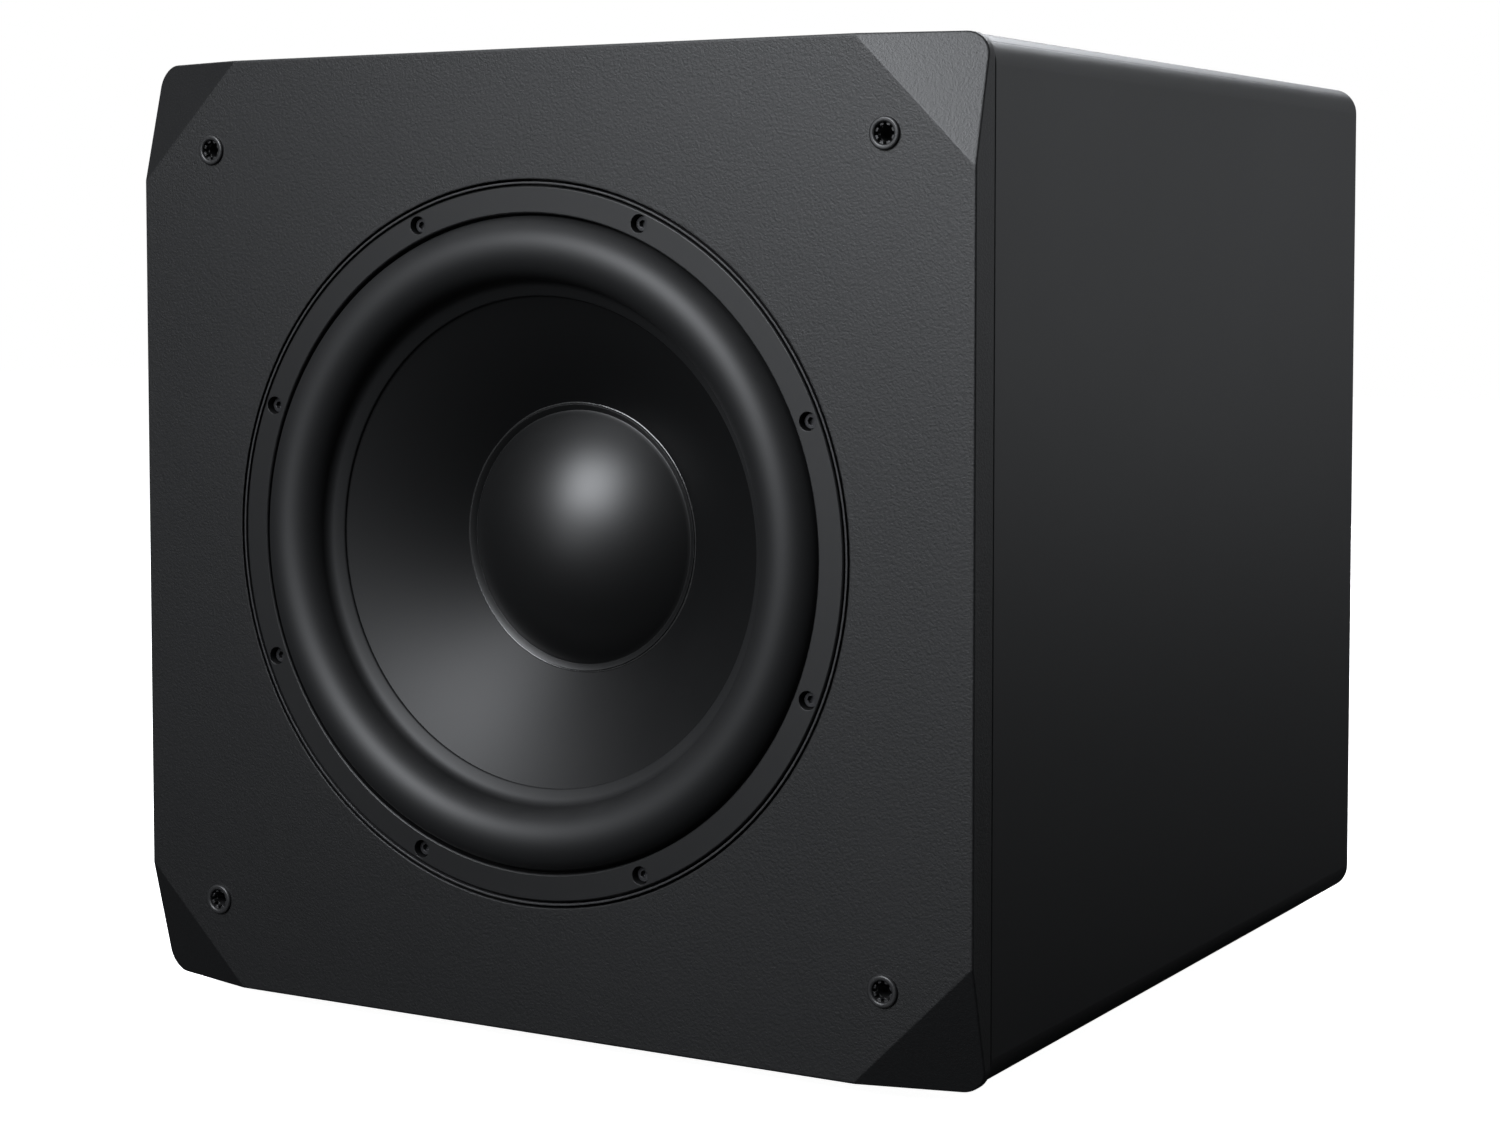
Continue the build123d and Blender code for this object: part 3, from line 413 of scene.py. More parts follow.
def coatedFinish(name, colour, tone, rough, grain, depth, pebble=0.5, spread=0.08, edge=0.0006, edgeHighlightTone=1.6,
                 dust=0.05, dustScale=25.0, metallic=0.0, specular=0.5, coat=0.0, coatRough=0.1, sheen=0.0):
    # paint, plastic, rubber or plain metal: grain, eased edges with a painted highlight, uneven gloss and a
    # little dust
    material, tree, shader = startMaterial(name, metallic, specular, coat, coatRough, sheen)
    texture = addEffect(tree, "grain", Scale=grain, Pebble=pebble)
    eased = addEffect(tree, "edge", Radius=edge)
    film = addEffect(tree, "dust", Amount=dust, Scale=dustScale)
    gloss = addEffect(tree, "gloss", Base=rough, Spread=spread)
    body = mixColour(tree, texture.outputs["Tone"], rgba(colour), rgba(tone))
    # the edges are mixed towards a lighter tone: a painted highlight
    rim = tuple(min(1.0, c * edgeHighlightTone) for c in tone)
    edgeHighlighted = mixColour(tree, mathNode(tree, "MULTIPLY", eased.outputs["Mask"], 0.6), body, rgba(rim))
    dusty = mixColour(tree, film.outputs["Mask"], edgeHighlighted, (0.32, 0.31, 0.30, 1.0))
    tree.links.new(dusty, shader.inputs["Base Color"])
    dustier = mathNode(tree, "MULTIPLY", film.outputs["Mask"], 0.5)
    dull = mathNode(tree, "ADD", gloss.outputs[0], dustier, True)
    tree.links.new(dull, shader.inputs["Roughness"])
    finishNormal(tree, shader, texture.outputs["Height"], depth, eased.outputs["Normal"])
    return material


def linedMetal(name, colour, tone, rough, stretch, depth=0.00002, edge=0.0004, spread=0.15, metallic=1.0,
               coat=0.0):
    # rolled, turned or drawn metal: fine lines along one direction, and a painted highlight on the edges
    material, tree, shader = startMaterial(name, metallic, 0.5, coat, 0.2)
    lines = noise(tree, stretched(tree, objectCoords(tree), stretch), 1.0, 4.0, 0.6)
    eased = addEffect(tree, "edge", Radius=edge)
    film = addEffect(tree, "dust", Amount=0.05, Scale=20.0)
    body = mixColour(tree, mapRange(tree, lines, 0.3, 0.7), rgba(colour), rgba(tone))
    # the edges are mixed towards a lighter tone: a painted highlight
    rim = [min(1, c * 1.3) for c in tone]
    edgeHighlighted = mixColour(tree, mathNode(tree, "MULTIPLY", eased.outputs["Mask"], 0.5), body, rgba(rim))
    dusty = mixColour(tree, film.outputs["Mask"], edgeHighlighted, (0.4, 0.39, 0.38, 1.0))
    tree.links.new(dusty, shader.inputs["Base Color"])
    uneven = mapRange(tree, lines, 0.2, 0.8, rough - spread / 2, rough + spread / 2)
    tree.links.new(uneven, shader.inputs["Roughness"])
    finishNormal(tree, shader, lines, depth, eased.outputs["Normal"])
    return material


def fibreboard(name):
    # bare medium density board: pressed fibres, a little mottled
    material, tree, shader = startMaterial(name, 0.0, 0.25)
    coords = objectCoords(tree)
    fibres = noise(tree, stretched(tree, coords, (900.0, 500.0, 900.0)), 1.0, 5.0, 0.7)
    mottle = noise(tree, coords, 18.0, 4.0, 0.6)
    eased = addEffect(tree, "edge", Radius=0.0008)
    light = mixColour(tree, mapRange(tree, fibres, 0.3, 0.7), (0.30, 0.20, 0.12, 1), (0.50, 0.37, 0.24, 1))
    body = mixColour(tree, mapRange(tree, mottle, 0.35, 0.7, 0.0, 0.35), light, (0.24, 0.16, 0.10, 1))
    tree.links.new(body, shader.inputs["Base Color"])
    tree.links.new(mapRange(tree, fibres, 0.2, 0.8, 0.72, 0.92), shader.inputs["Roughness"])
    finishNormal(tree, shader, fibres, 0.0002, eased.outputs["Normal"])
    return material


def openFoam(name):
    # open cell foam: small pores
    material, tree, shader = startMaterial(name, 0.0, 0.2, sheen=0.2)
    cells = tree.nodes.new("ShaderNodeTexVoronoi")
    cells.inputs["Scale"].default_value = 900.0
    tree.links.new(objectCoords(tree), cells.inputs["Vector"])
    pores = mapRange(tree, cells.outputs["Distance"], 0.1, 0.7)
    uneven = noise(tree, objectCoords(tree), 30.0, 4.0, 0.6)
    body = mixColour(tree, pores, (0.018, 0.018, 0.020, 1), (0.085, 0.085, 0.092, 1))
    worn = mixColour(tree, mapRange(tree, uneven, 0.4, 0.8, 0.0, 0.4), body, (0.13, 0.13, 0.13, 1))
    tree.links.new(worn, shader.inputs["Base Color"])
    tree.links.new(mapRange(tree, pores, 0.0, 1.0, 0.85, 1.0), shader.inputs["Roughness"])
    finishNormal(tree, shader, pores, 0.0006)
    return material


def wovenCloth(name):
    # resin dipped cotton: two crossed threads
    material, tree, shader = startMaterial(name, 0.0, 0.35)
    coords = objectCoords(tree)
    weave = []
    for scale in ((1100.0, 1.0, 0.0), (0.0, 1.0, 1100.0)):
        wave = tree.nodes.new("ShaderNodeTexWave")
        wave.inputs["Scale"].default_value = 1.0
        wave.inputs["Distortion"].default_value = 0.6
        wave.bands_direction = "X" if scale[0] else "Z"
        tree.links.new(stretched(tree, coords, scale), wave.inputs["Vector"])
        weave.append(wave.outputs["Fac"])
    threads = mathNode(tree, "MAXIMUM", weave[0], weave[1])
    soak = noise(tree, coords, 60.0, 4.0, 0.6)
    body = mixColour(tree, threads, (0.34, 0.20, 0.07, 1), (0.72, 0.50, 0.24, 1))
    stained = mixColour(tree, mapRange(tree, soak, 0.4, 0.7, 0.0, 0.5), body, (0.42, 0.24, 0.08, 1))
    tree.links.new(stained, shader.inputs["Base Color"])
    tree.links.new(mapRange(tree, threads, 0.0, 1.0, 0.75, 0.55), shader.inputs["Roughness"])
    finishNormal(tree, shader, threads, 0.0002)
    return material


def woundWire(name, colour, tone, direction, pitch, rough=0.35, metallic=1.0):
    # turns of wire or tape lying side by side
    material, tree, shader = startMaterial(name, metallic, 0.5, 0.4, 0.15)
    wave = tree.nodes.new("ShaderNodeTexWave")
    wave.bands_direction = direction
    wave.inputs["Scale"].default_value = 0.314 / pitch
    wave.inputs["Distortion"].default_value = 0.4
    wave.inputs["Detail"].default_value = 1.0
    tree.links.new(objectCoords(tree), wave.inputs["Vector"])
    turns = wave.outputs["Fac"]
    uneven = noise(tree, objectCoords(tree), 120.0, 3.0, 0.6)
    body = mixColour(tree, turns, rgba(tone), rgba(colour))
    varied = mixColour(tree, mapRange(tree, uneven, 0.4, 0.75, 0.0, 0.4), body, rgba(tone))
    tree.links.new(varied, shader.inputs["Base Color"])
    tree.links.new(mapRange(tree, turns, 0.0, 1.0, rough + 0.2, rough), shader.inputs["Roughness"])
    finishNormal(tree, shader, turns, pitch * 0.4)
    return material


def circuitBoard(name):
    # solder mask over copper tracks, with tinned pads
    material, tree, shader = startMaterial(name, 0.0, 0.5, 0.5, 0.15)
    coords = objectCoords(tree)
    tracks = tree.nodes.new("ShaderNodeTexBrick")
    tracks.inputs["Scale"].default_value = 60.0
    tracks.inputs["Mortar Size"].default_value = 0.03
    tracks.inputs["Color1"].default_value = (0, 0, 0, 1)
    tracks.inputs["Color2"].default_value = (0, 0, 0, 1)
    tracks.inputs["Mortar"].default_value = (1, 1, 1, 1)
    turned = tree.nodes.new("ShaderNodeMapping")
    turned.inputs["Rotation"].default_value = (math.radians(90), 0, 0)
    tree.links.new(coords, turned.inputs["Vector"])
    tree.links.new(turned.outputs[0], tracks.inputs["Vector"])
    pads = tree.nodes.new("ShaderNodeTexVoronoi")
    pads.inputs["Scale"].default_value = 190.0
    pads.inputs["Randomness"].default_value = 0.35
    tree.links.new(coords, pads.inputs["Vector"])
    padMask = mapRange(tree, pads.outputs["Distance"], 0.22, 0.18)
    copper = tracks.outputs["Color"]
    mask = mixColour(tree, copper, (0.008, 0.075, 0.030, 1), (0.020, 0.190, 0.075, 1))
    body = mixColour(tree, padMask, mask, (0.62, 0.62, 0.60, 1))
    tree.links.new(body, shader.inputs["Base Color"])
    tree.links.new(mapRange(tree, padMask, 0.0, 1.0, 0.35, 0.25), shader.inputs["Roughness"])
    tree.links.new(mapRange(tree, padMask, 0.0, 1.0, 0.0, 1.0), shader.inputs["Metallic"])
    lift = mathNode(tree, "ADD", padMask, mathNode(tree, "MULTIPLY", tracks.outputs["Fac"], 0.4))
    finishNormal(tree, shader, lift, 0.00006)
    return material


def clearGlass(name):
    material, tree, shader = startMaterial(name, 0.0, 0.5)
    shader.inputs["Transmission Weight"].default_value = 0.9
    shader.inputs["IOR"].default_value = 1.45
    bands = noise(tree, objectCoords(tree), 90.0, 3.0, 0.5)
    tint = mixColour(tree, bands, (0.80, 0.86, 0.86, 1), (0.95, 0.97, 0.97, 1))
    tree.links.new(tint, shader.inputs["Base Color"])
    tree.links.new(mapRange(tree, bands, 0.3, 0.7, 0.03, 0.09), shader.inputs["Roughness"])
    return material


def jackInsulator(name, split):
    # white inserts on one channel, red on the other, told apart by place
    material, tree, shader = startMaterial(name, 0.0, 0.5, 0.3, 0.1)
    place = tree.nodes.new("ShaderNodeSeparateXYZ")
    tree.links.new(objectCoords(tree), place.inputs[0])
    along = mathNode(tree, "SUBTRACT", place.outputs["X"], split["start"])
    odd = mathNode(tree, "PINGPONG", along, split["pair"])
    red = mapRange(tree, odd, split["low"], split["high"])
    grit = noise(tree, objectCoords(tree), 1500.0, 2.0)
    body = mixColour(tree, red, (0.62, 0.62, 0.60, 1), (0.45, 0.012, 0.012, 1))
    shaded = mixColour(tree, mapRange(tree, grit, 0.4, 0.7, 0.0, 0.15), body, (0.3, 0.2, 0.2, 1))
    tree.links.new(shaded, shader.inputs["Base Color"])
    tree.links.new(mapRange(tree, grit, 0.3, 0.7, 0.30, 0.42), shader.inputs["Roughness"])
    finishNormal(tree, shader, grit, 0.00002)
    return material


def spunMetal(name, colour, tone, rough, centre):
    # turned faces: rings about the driver's axis
    material, tree, shader = startMaterial(name, 1.0, 0.5)
    moved = tree.nodes.new("ShaderNodeMapping")
    moved.inputs["Location"].default_value = (-centre[0], 0.0, -centre[1])
    tree.links.new(objectCoords(tree), moved.inputs["Vector"])
    wave = tree.nodes.new("ShaderNodeTexWave")
    wave.wave_type = "RINGS"
    wave.rings_direction = "Y"
    wave.inputs["Scale"].default_value = 700.0
    wave.inputs["Distortion"].default_value = 1.5
    wave.inputs["Detail"].default_value = 2.0
    tree.links.new(moved.outputs[0], wave.inputs["Vector"])
    eased = addEffect(tree, "edge", Radius=0.0008)
    stain = noise(tree, objectCoords(tree), 25.0, 4.0, 0.6)
    body = mixColour(tree, wave.outputs["Fac"], rgba(colour), rgba(tone))
    aged = mixColour(tree, mapRange(tree, stain, 0.45, 0.8, 0.0, 0.5), body, rgba([c * 0.6 for c in colour]))
    tree.links.new(aged, shader.inputs["Base Color"])
    tree.links.new(mapRange(tree, stain, 0.2, 0.8, rough - 0.08, rough + 0.1), shader.inputs["Roughness"])
    finishNormal(tree, shader, wave.outputs["Fac"], 0.00002, eased.outputs["Normal"])
    return material


black = (0.0026, 0.0027, 0.0030)
driverLow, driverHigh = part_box("surround")
driverCentre = ((driverLow.x + driverHigh.x) / 2, (driverLow.z + driverHigh.z) / 2)

# grain is bumps per metre, depth their height and edge the eased edge's width in metres, which is also the
# width of its painted highlight; edgeHighlightTone is how much lighter that painted highlight is
coatedLooks = {
    "cabinetPaint": {
        "colour": black, "tone": (0.0034, 0.0035, 0.0038), "rough": 0.44, "grain": 1500.0,
        "depth": 0.00002, "pebble": 0.2, "spread": 0.06, "edge": 0.0009, "edgeHighlightTone": 1.5, "dust": 0.03,
    },
    "bafflePaint": {
        "colour": (0.0014, 0.0015, 0.0017), "tone": (0.0032, 0.0033, 0.0036), "rough": 0.46,
        "grain": 1450.0, "depth": 0.00015, "pebble": 0.25, "spread": 0.06, "edge": 0.0009,
        "edgeHighlightTone": 1.5, "dust": 0.03,
    },
    "rearPaint": {
        "colour": black, "tone": (0.012, 0.012, 0.0125), "rough": 0.52, "grain": 1300.0,
        "depth": 0.00004, "pebble": 0.4, "spread": 0.08, "edge": 0.0008, "edgeHighlightTone": 1.5, "dust": 0.05,
    },
    "footRubber": {
        "colour": (0.010, 0.010, 0.010), "tone": (0.018, 0.018, 0.018), "rough": 0.82, "grain": 2200.0,
        "depth": 0.00008, "pebble": 0.6, "spread": 0.1, "edge": 0.0010, "edgeHighlightTone": 1.4, "dust": 0.12,
    },
    "surroundRubber": {
        "colour": (0.0055, 0.0057, 0.0060), "tone": (0.0070, 0.0072, 0.0076), "rough": 0.53,
        "grain": 2600.0, "depth": 0.000012, "pebble": 0.2, "spread": 0.06, "edge": 0.0003,
        "edgeHighlightTone": 1.2, "dust": 0.04, "specular": 0.42,
    },
    "gasketFoam": {
        "colour": (0.012, 0.012, 0.012), "tone": (0.022, 0.022, 0.022), "rough": 0.9, "grain": 1800.0,
        "depth": 0.00012, "pebble": 0.9, "spread": 0.1, "edge": 0.0004,
    },
    "blackOxide": {
        "colour": (0.020, 0.020, 0.022), "tone": (0.045, 0.045, 0.047), "rough": 0.36, "grain": 2500.0,
        "depth": 0.00002, "pebble": 0.3, "spread": 0.15, "edge": 0.0003, "edgeHighlightTone": 2.2, "dust": 0.03,
        "metallic": 0.6,
    },
    "socketPlastic": {
        "colour": (0.010, 0.010, 0.0105), "tone": (0.016, 0.016, 0.0165), "rough": 0.40,
        "grain": 2600.0, "depth": 0.00003, "pebble": 0.5, "spread": 0.08, "edge": 0.0004,
        "edgeHighlightTone": 1.8, "dust": 0.03,
    },
    "trimPlastic": {
        "colour": (0.0028, 0.0029, 0.0031), "tone": (0.0042, 0.0043, 0.0046), "rough": 0.42,
        "grain": 2400.0, "depth": 0.00002, "pebble": 0.3, "spread": 0.06, "edge": 0.0004,
        "edgeHighlightTone": 1.7, "dust": 0.03,
    },
    "basketPaint": {
        "colour": (0.012, 0.012, 0.0125), "tone": (0.024, 0.024, 0.025), "rough": 0.48, "grain": 1700.0,
        "depth": 0.00006, "pebble": 0.7, "spread": 0.1, "edge": 0.0006, "edgeHighlightTone": 1.8, "dust": 0.03,
    },
    "conePulp": {
        "colour": (0.0020, 0.0021, 0.0022), "tone": (0.0028, 0.0029, 0.0031), "rough": 0.46,
        "grain": 1900.0, "depth": 0.000012, "pebble": 0.1, "spread": 0.05, "edge": 0.0003,
        "edgeHighlightTone": 1.2, "dust": 0.02, "specular": 0.24,
    },
    "capPlastic": {
        "colour": (0.0022, 0.0023, 0.0024), "tone": (0.0030, 0.0031, 0.0032), "rough": 0.42,
        "grain": 1700.0, "depth": 0.000010, "pebble": 0.2, "spread": 0.04, "edge": 0.0003,
        "edgeHighlightTone": 1.2, "dust": 0.02,
    },
    "capGlue": {
        "colour": (0.012, 0.012, 0.012), "tone": (0.020, 0.020, 0.020), "rough": 0.25, "grain": 900.0,
        "depth": 0.00010, "pebble": 0.2, "spread": 0.1, "edge": 0.0002, "edgeHighlightTone": 1.5, "dust": 0.0,
    },
    "phenolic": {
        "colour": (0.013, 0.012, 0.012), "tone": (0.026, 0.024, 0.022), "rough": 0.42, "grain": 1500.0,
        "depth": 0.00003, "pebble": 0.4, "spread": 0.1, "edge": 0.0003,
    },
    "ferrite": {
        "colour": (0.030, 0.030, 0.032), "tone": (0.060, 0.060, 0.063), "rough": 0.62, "grain": 1400.0,
        "depth": 0.00012, "pebble": 0.3, "spread": 0.15, "edge": 0.0010, "edgeHighlightTone": 1.6, "dust": 0.08,
        "metallic": 0.3,
    },
    "platePaint": {
        "colour": (0.012, 0.012, 0.0125), "tone": (0.024, 0.024, 0.025), "rough": 0.46, "grain": 1600.0,
        "depth": 0.00008, "pebble": 0.7, "spread": 0.08, "edge": 0.0005, "edgeHighlightTone": 1.8, "dust": 0.05,
    },
    "canSleeve": {
        "colour": (0.012, 0.012, 0.030), "tone": (0.020, 0.020, 0.045), "rough": 0.22, "grain": 800.0,
        "depth": 0.00002, "pebble": 0.2, "spread": 0.08, "edge": 0.0006, "edgeHighlightTone": 1.3,
    },
    "blackPlastic": {
        "colour": (0.011, 0.011, 0.0115), "tone": (0.018, 0.018, 0.0185), "rough": 0.44,
        "grain": 2200.0, "depth": 0.00005, "pebble": 0.6, "spread": 0.1, "edge": 0.0003,
        "edgeHighlightTone": 1.7, "dust": 0.05,
    },
    "knobPlastic": {
        "colour": (0.010, 0.010, 0.0105), "tone": (0.017, 0.017, 0.0175), "rough": 0.36,
        "grain": 2400.0, "depth": 0.00003, "pebble": 0.5, "spread": 0.12, "edge": 0.0003,
        "edgeHighlightTone": 2.0, "dust": 0.05,
    },
    "inletPlastic": {
        "colour": (0.009, 0.009, 0.0095), "tone": (0.015, 0.015, 0.0155), "rough": 0.34,
        "grain": 2000.0, "depth": 0.00003, "pebble": 0.4, "spread": 0.1, "edge": 0.0003,
        "edgeHighlightTone": 1.7, "dust": 0.05,
    },
    "lensPlastic": {
        "colour": (0.05, 0.20, 0.45), "tone": (0.08, 0.30, 0.60), "rough": 0.18, "grain": 600.0,
        "depth": 0.00001, "pebble": 0.1, "spread": 0.05, "edge": 0.0002, "edgeHighlightTone": 1.1, "dust": 0.0,
        "coat": 0.5,
    },
    "markInk": {
        "colour": (0.50, 0.50, 0.49), "tone": (0.58, 0.58, 0.57), "rough": 0.5, "grain": 1200.0,
        "depth": 0.00001, "pebble": 0.3, "spread": 0.1, "edge": 0.0001, "edgeHighlightTone": 1.1, "dust": 0.02,
    },
    "wireJacket": {
        "colour": (0.22, 0.010, 0.010), "tone": (0.32, 0.020, 0.018), "rough": 0.42, "grain": 900.0,
        "depth": 0.00004, "pebble": 0.2, "spread": 0.1, "edge": 0.0002, "edgeHighlightTone": 1.2, "dust": 0.0,
    },
}

metalLooks = {
    "zinc": {
        "colour": (0.42, 0.43, 0.45), "tone": (0.62, 0.62, 0.62), "rough": 0.35,
        "stretch": (300.0, 300.0, 2500.0),
    },
    "brass": {
        "colour": (0.48, 0.33, 0.12), "tone": (0.72, 0.54, 0.24), "rough": 0.32,
        "stretch": (2500.0, 300.0, 2500.0),
    },
    "formerSheet": {
        "colour": (0.62, 0.63, 0.65), "tone": (0.80, 0.81, 0.82), "rough": 0.3,
        "stretch": (3000.0, 200.0, 3000.0),
    },
    "tinned": {
        "colour": (0.55, 0.55, 0.53), "tone": (0.75, 0.75, 0.73), "rough": 0.3,
        "stretch": (900.0, 900.0, 900.0),
    },
    "anodised": {
        "colour": (0.016, 0.016, 0.018), "tone": (0.035, 0.035, 0.038), "rough": 0.36,
        "stretch": (1800.0, 1800.0, 60.0), "depth": 0.00003, "edge": 0.0005, "spread": 0.12,
        "metallic": 0.8,
    },
    "galvanised": {
        "colour": (0.45, 0.46, 0.48), "tone": (0.68, 0.69, 0.70), "rough": 0.4,
        "stretch": (90.0, 90.0, 90.0), "depth": 0.00004, "edge": 0.0006, "spread": 0.2,
    },
    "nickel": {
        "colour": (0.60, 0.58, 0.54), "tone": (0.80, 0.78, 0.74), "rough": 0.22,
        "stretch": (300.0, 2500.0, 300.0),
    },
    "shaftSteel": {
        "colour": (0.50, 0.50, 0.51), "tone": (0.70, 0.70, 0.70), "rough": 0.25,
        "stretch": (2500.0, 300.0, 2500.0),
    },
    "goldPlate": {
        "colour": (0.62, 0.42, 0.14), "tone": (0.86, 0.66, 0.30), "rough": 0.24,
        "stretch": (2500.0, 300.0, 2500.0),
    },
}

finishes = {name: coatedFinish(name, **look) for name, look in coatedLooks.items()}
finishes.update({name: linedMetal(name, **look) for name, look in metalLooks.items()})
finishes.update({
    "board": fibreboard("board"),
    "foam": openFoam("foam"),
    "coilWire": woundWire("coilWire", (0.72, 0.28, 0.10), (0.30, 0.09, 0.03), "Y", 0.0004),
    "spiderCloth": wovenCloth("spiderCloth"),
    "tinselBraid": woundWire("tinselBraid", (0.72, 0.62, 0.48), (0.34, 0.26, 0.18), "DIAGONAL", 0.0006, 0.4),
    "motorSteel": spunMetal("motorSteel", (0.40, 0.40, 0.42), (0.60, 0.60, 0.61), 0.34, driverCentre),
    "solderMask": circuitBoard("solderMask"),
    "windingTape": woundWire("windingTape", (0.62, 0.42, 0.06), (0.36, 0.22, 0.02), "X", 0.006, 0.25, 0.0),
    "fuseGlass": clearGlass("fuseGlass"),
    "jackInsert": jackInsulator("jackInsert", {"start": 0.0, "pair": 0.04, "low": 0.01, "high": 0.02}),
})

finishNodes = {
    "cabinetPaint": "top_panel bottom_panel left_panel right_panel",
    "bafflePaint": "front_baffle",
    "rearPaint": "rear_panel",
    "board": "window_brace",
    "foam": "damping_pads",
    "footRubber": "rubber_feet",
    "zinc": "foot_screws",
    "socketPlastic": "grille_sockets",
    "basketPaint": "basket",
    "gasketFoam": "basket_gasket amp_gasket",
    "trimPlastic": "trim_ring",
    "blackOxide": "driver_screws motor_screws amp_screws",
    "brass": "baffle_inserts",
    "surroundRubber": "surround",
    "conePulp": "cone",
    "capPlastic": "dust_cap",
    "formerSheet": "coil_former",
    "coilWire": "voice_coil",
    "spiderCloth": "spider",
    "tinselBraid": "tinsel_leads",
    "phenolic": "terminal_block power_transistors",
    "tinned": "terminal_tags control_pots",
    "motorSteel": "top_plate pole_yoke transformer_clamp",
    "ferrite": "ferrite_magnets",
    "platePaint": "amp_plate",
    "galvanised": "amp_enclosure",
    "anodised": "heatsink",
    "solderMask": "main_board input_board",
    "nickel": "board_standoffs inlet_pins",
    "windingTape": "transformer",
    "canSleeve": "filter_capacitors",
    "knobPlastic": "volume_knob crossover_knob",
    "shaftSteel": "volume_shaft crossover_shaft",
    "blackPlastic": "switch_bodies phase_slider mode_slider rocker_housing power_rocker trigger_jack",
    "inletPlastic": "mains_inlet fuse_drawer",
    "fuseGlass": "fuse",
    "goldPlate": "jack_shells",
    "jackInsert": "jack_cores",
    "lensPlastic": "status_lens",
    "wireJacket": "speaker_leads",
}


def dressNodes():
    nodeFinish = {name: finish for finish, names in finishNodes.items() for name in names.split()}
    for name, piece in nodes.items():
        material = finishes[nodeFinish[name]]
        if not piece.material_slots:
            piece.data.materials.append(material)
        for slot in piece.material_slots:
            slot.material = material


dressNodes()
print("stage: finishes,", len(finishes), "materials")


# shapes turned about the driver's axis

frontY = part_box("trim_ring")[0].y  # the baffle's front face
centreX, centreZ = driverCentre
mm = 0.001


def arcThrough(first, middle, last, steps):
    # points on the circle through three points, ends included
    a, b, c = Vector(first), Vector(middle), Vector(last)
    ab, ac = b - a, c - a
    cross = 2 * (ab.x * ac.y - ab.y * ac.x)
    offset = Vector((ac.y * ab.length_squared - ab.y * ac.length_squared,
                     ab.x * ac.length_squared - ac.x * ab.length_squared)) / cross
    centre, radius = a + offset, offset.length
    start = math.atan2(a.y - centre.y, a.x - centre.x)
    end = math.atan2(c.y - centre.y, c.x - centre.x)
    via = math.atan2(b.y - centre.y, b.x - centre.x)
    turn = (end - start) % (2 * math.pi)
    if (via - start) % (2 * math.pi) > turn:
        turn -= 2 * math.pi
    angles = [start + turn * k / steps for k in range(steps + 1)]
    return [(centre.x + radius * math.cos(t), centre.y + radius * math.sin(t)) for t in angles]


def easeCorners(outline, reach, steps=4, leastBend=20.0):
    # swaps each real corner of a closed outline for a short curve
    eased = []
    count = len(outline)
    for k in range(count):
        before, here, after = (Vector(outline[(k + step) % count]) for step in (-1, 0, 1))
        into, out = here - before, after - here
        if into.length < 1e-6 or out.length < 1e-6 or into.angle(out) < math.radians(leastBend):
            eased.append(here)
            continue
        start = here - into.normalized() * min(reach, into.length * 0.45)
        end = here + out.normalized() * min(reach, out.length * 0.45)
        for step in range(steps + 1):
            t = step / steps
            eased.append(start * (1 - t) ** 2 + here * 2 * t * (1 - t) + end * t ** 2)
    return eased


def spinOutline(name, outline, steps=192, closed=True):
    # outline holds (radius, depth behind the baffle's face) in millimetres
    shape = bmesh.new()
    corners = [shape.verts.new((centreX + r * mm, frontY + d * mm, centreZ)) for r, d in outline]
    pairs = list(zip(corners, corners[1:]))
    if closed:
        pairs.append((corners[-1], corners[0]))
    edges = [shape.edges.new(pair) for pair in pairs]
    bmesh.ops.spin(shape, geom=corners + edges, cent=(centreX, frontY, centreZ), axis=(0, 1, 0),
                   dvec=(0, 0, 0), angle=2 * math.pi, steps=steps, use_merge=True, use_duplicate=False)
    bmesh.ops.remove_doubles(shape, verts=shape.verts, dist=1e-7)
    return finishMesh(name, shape)


def blendRadially(piece, still, moving):
    # still and moving are the radii, in millimetres, where the piece stays put and where it follows the cone
    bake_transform(piece, "cabinet", "cone_assembly", (centreX + still * mm, frontY, centreZ),
             (centreX + moving * mm, frontY, centreZ))
    weights = piece.data.attributes["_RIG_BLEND"].data
    for index, vertex in enumerate(piece.data.vertices):
        radius = math.hypot(vertex.co.x - centreX, vertex.co.z - centreZ) / mm
        t = min(1.0, max(0.0, (still - radius) / (still - moving)))
        weights[index].value = t * t * (3 - 2 * t)


def dress(piece, finish, body=None):
    piece.data.materials.append(finishes[finish])
    if body:
        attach(piece, body)
    return piece


coneShape = {"edge": 115.0, "edgeDepth": 6.6, "slope": 0.62, "wall": 1.8, "neck": 33.5}


def coneFace(radius):
    return coneShape["edgeDepth"] + (coneShape["edge"] - radius) * coneShape["slope"]


def addCone(shape):
    outline = [
        (shape["edge"], coneFace(shape["edge"])),
        (shape["neck"], coneFace(shape["neck"])),
        (shape["neck"], coneFace(shape["neck"]) + shape["wall"]),
        (shape["edge"], coneFace(shape["edge"]) + shape["wall"]),
    ]
    cone = spinOutline("coneBody", easeCorners(outline, 0.4, 2), 160)
    dress(cone, "conePulp", "cone_assembly")
    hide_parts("cone")


surroundShape = {
    "lipEdge": 141.8,
    "lipDepth": 6.1,
    "thick": 1.1,
    "rollOut": (139.6, 3.0),  # radius and depth where the roll starts
    "crown": (126.8, -8.0),
    "rollIn": 112.6,
    "foot": 2.8,
    "landEnd": 105.7,
    "fillet": 0.9,
}


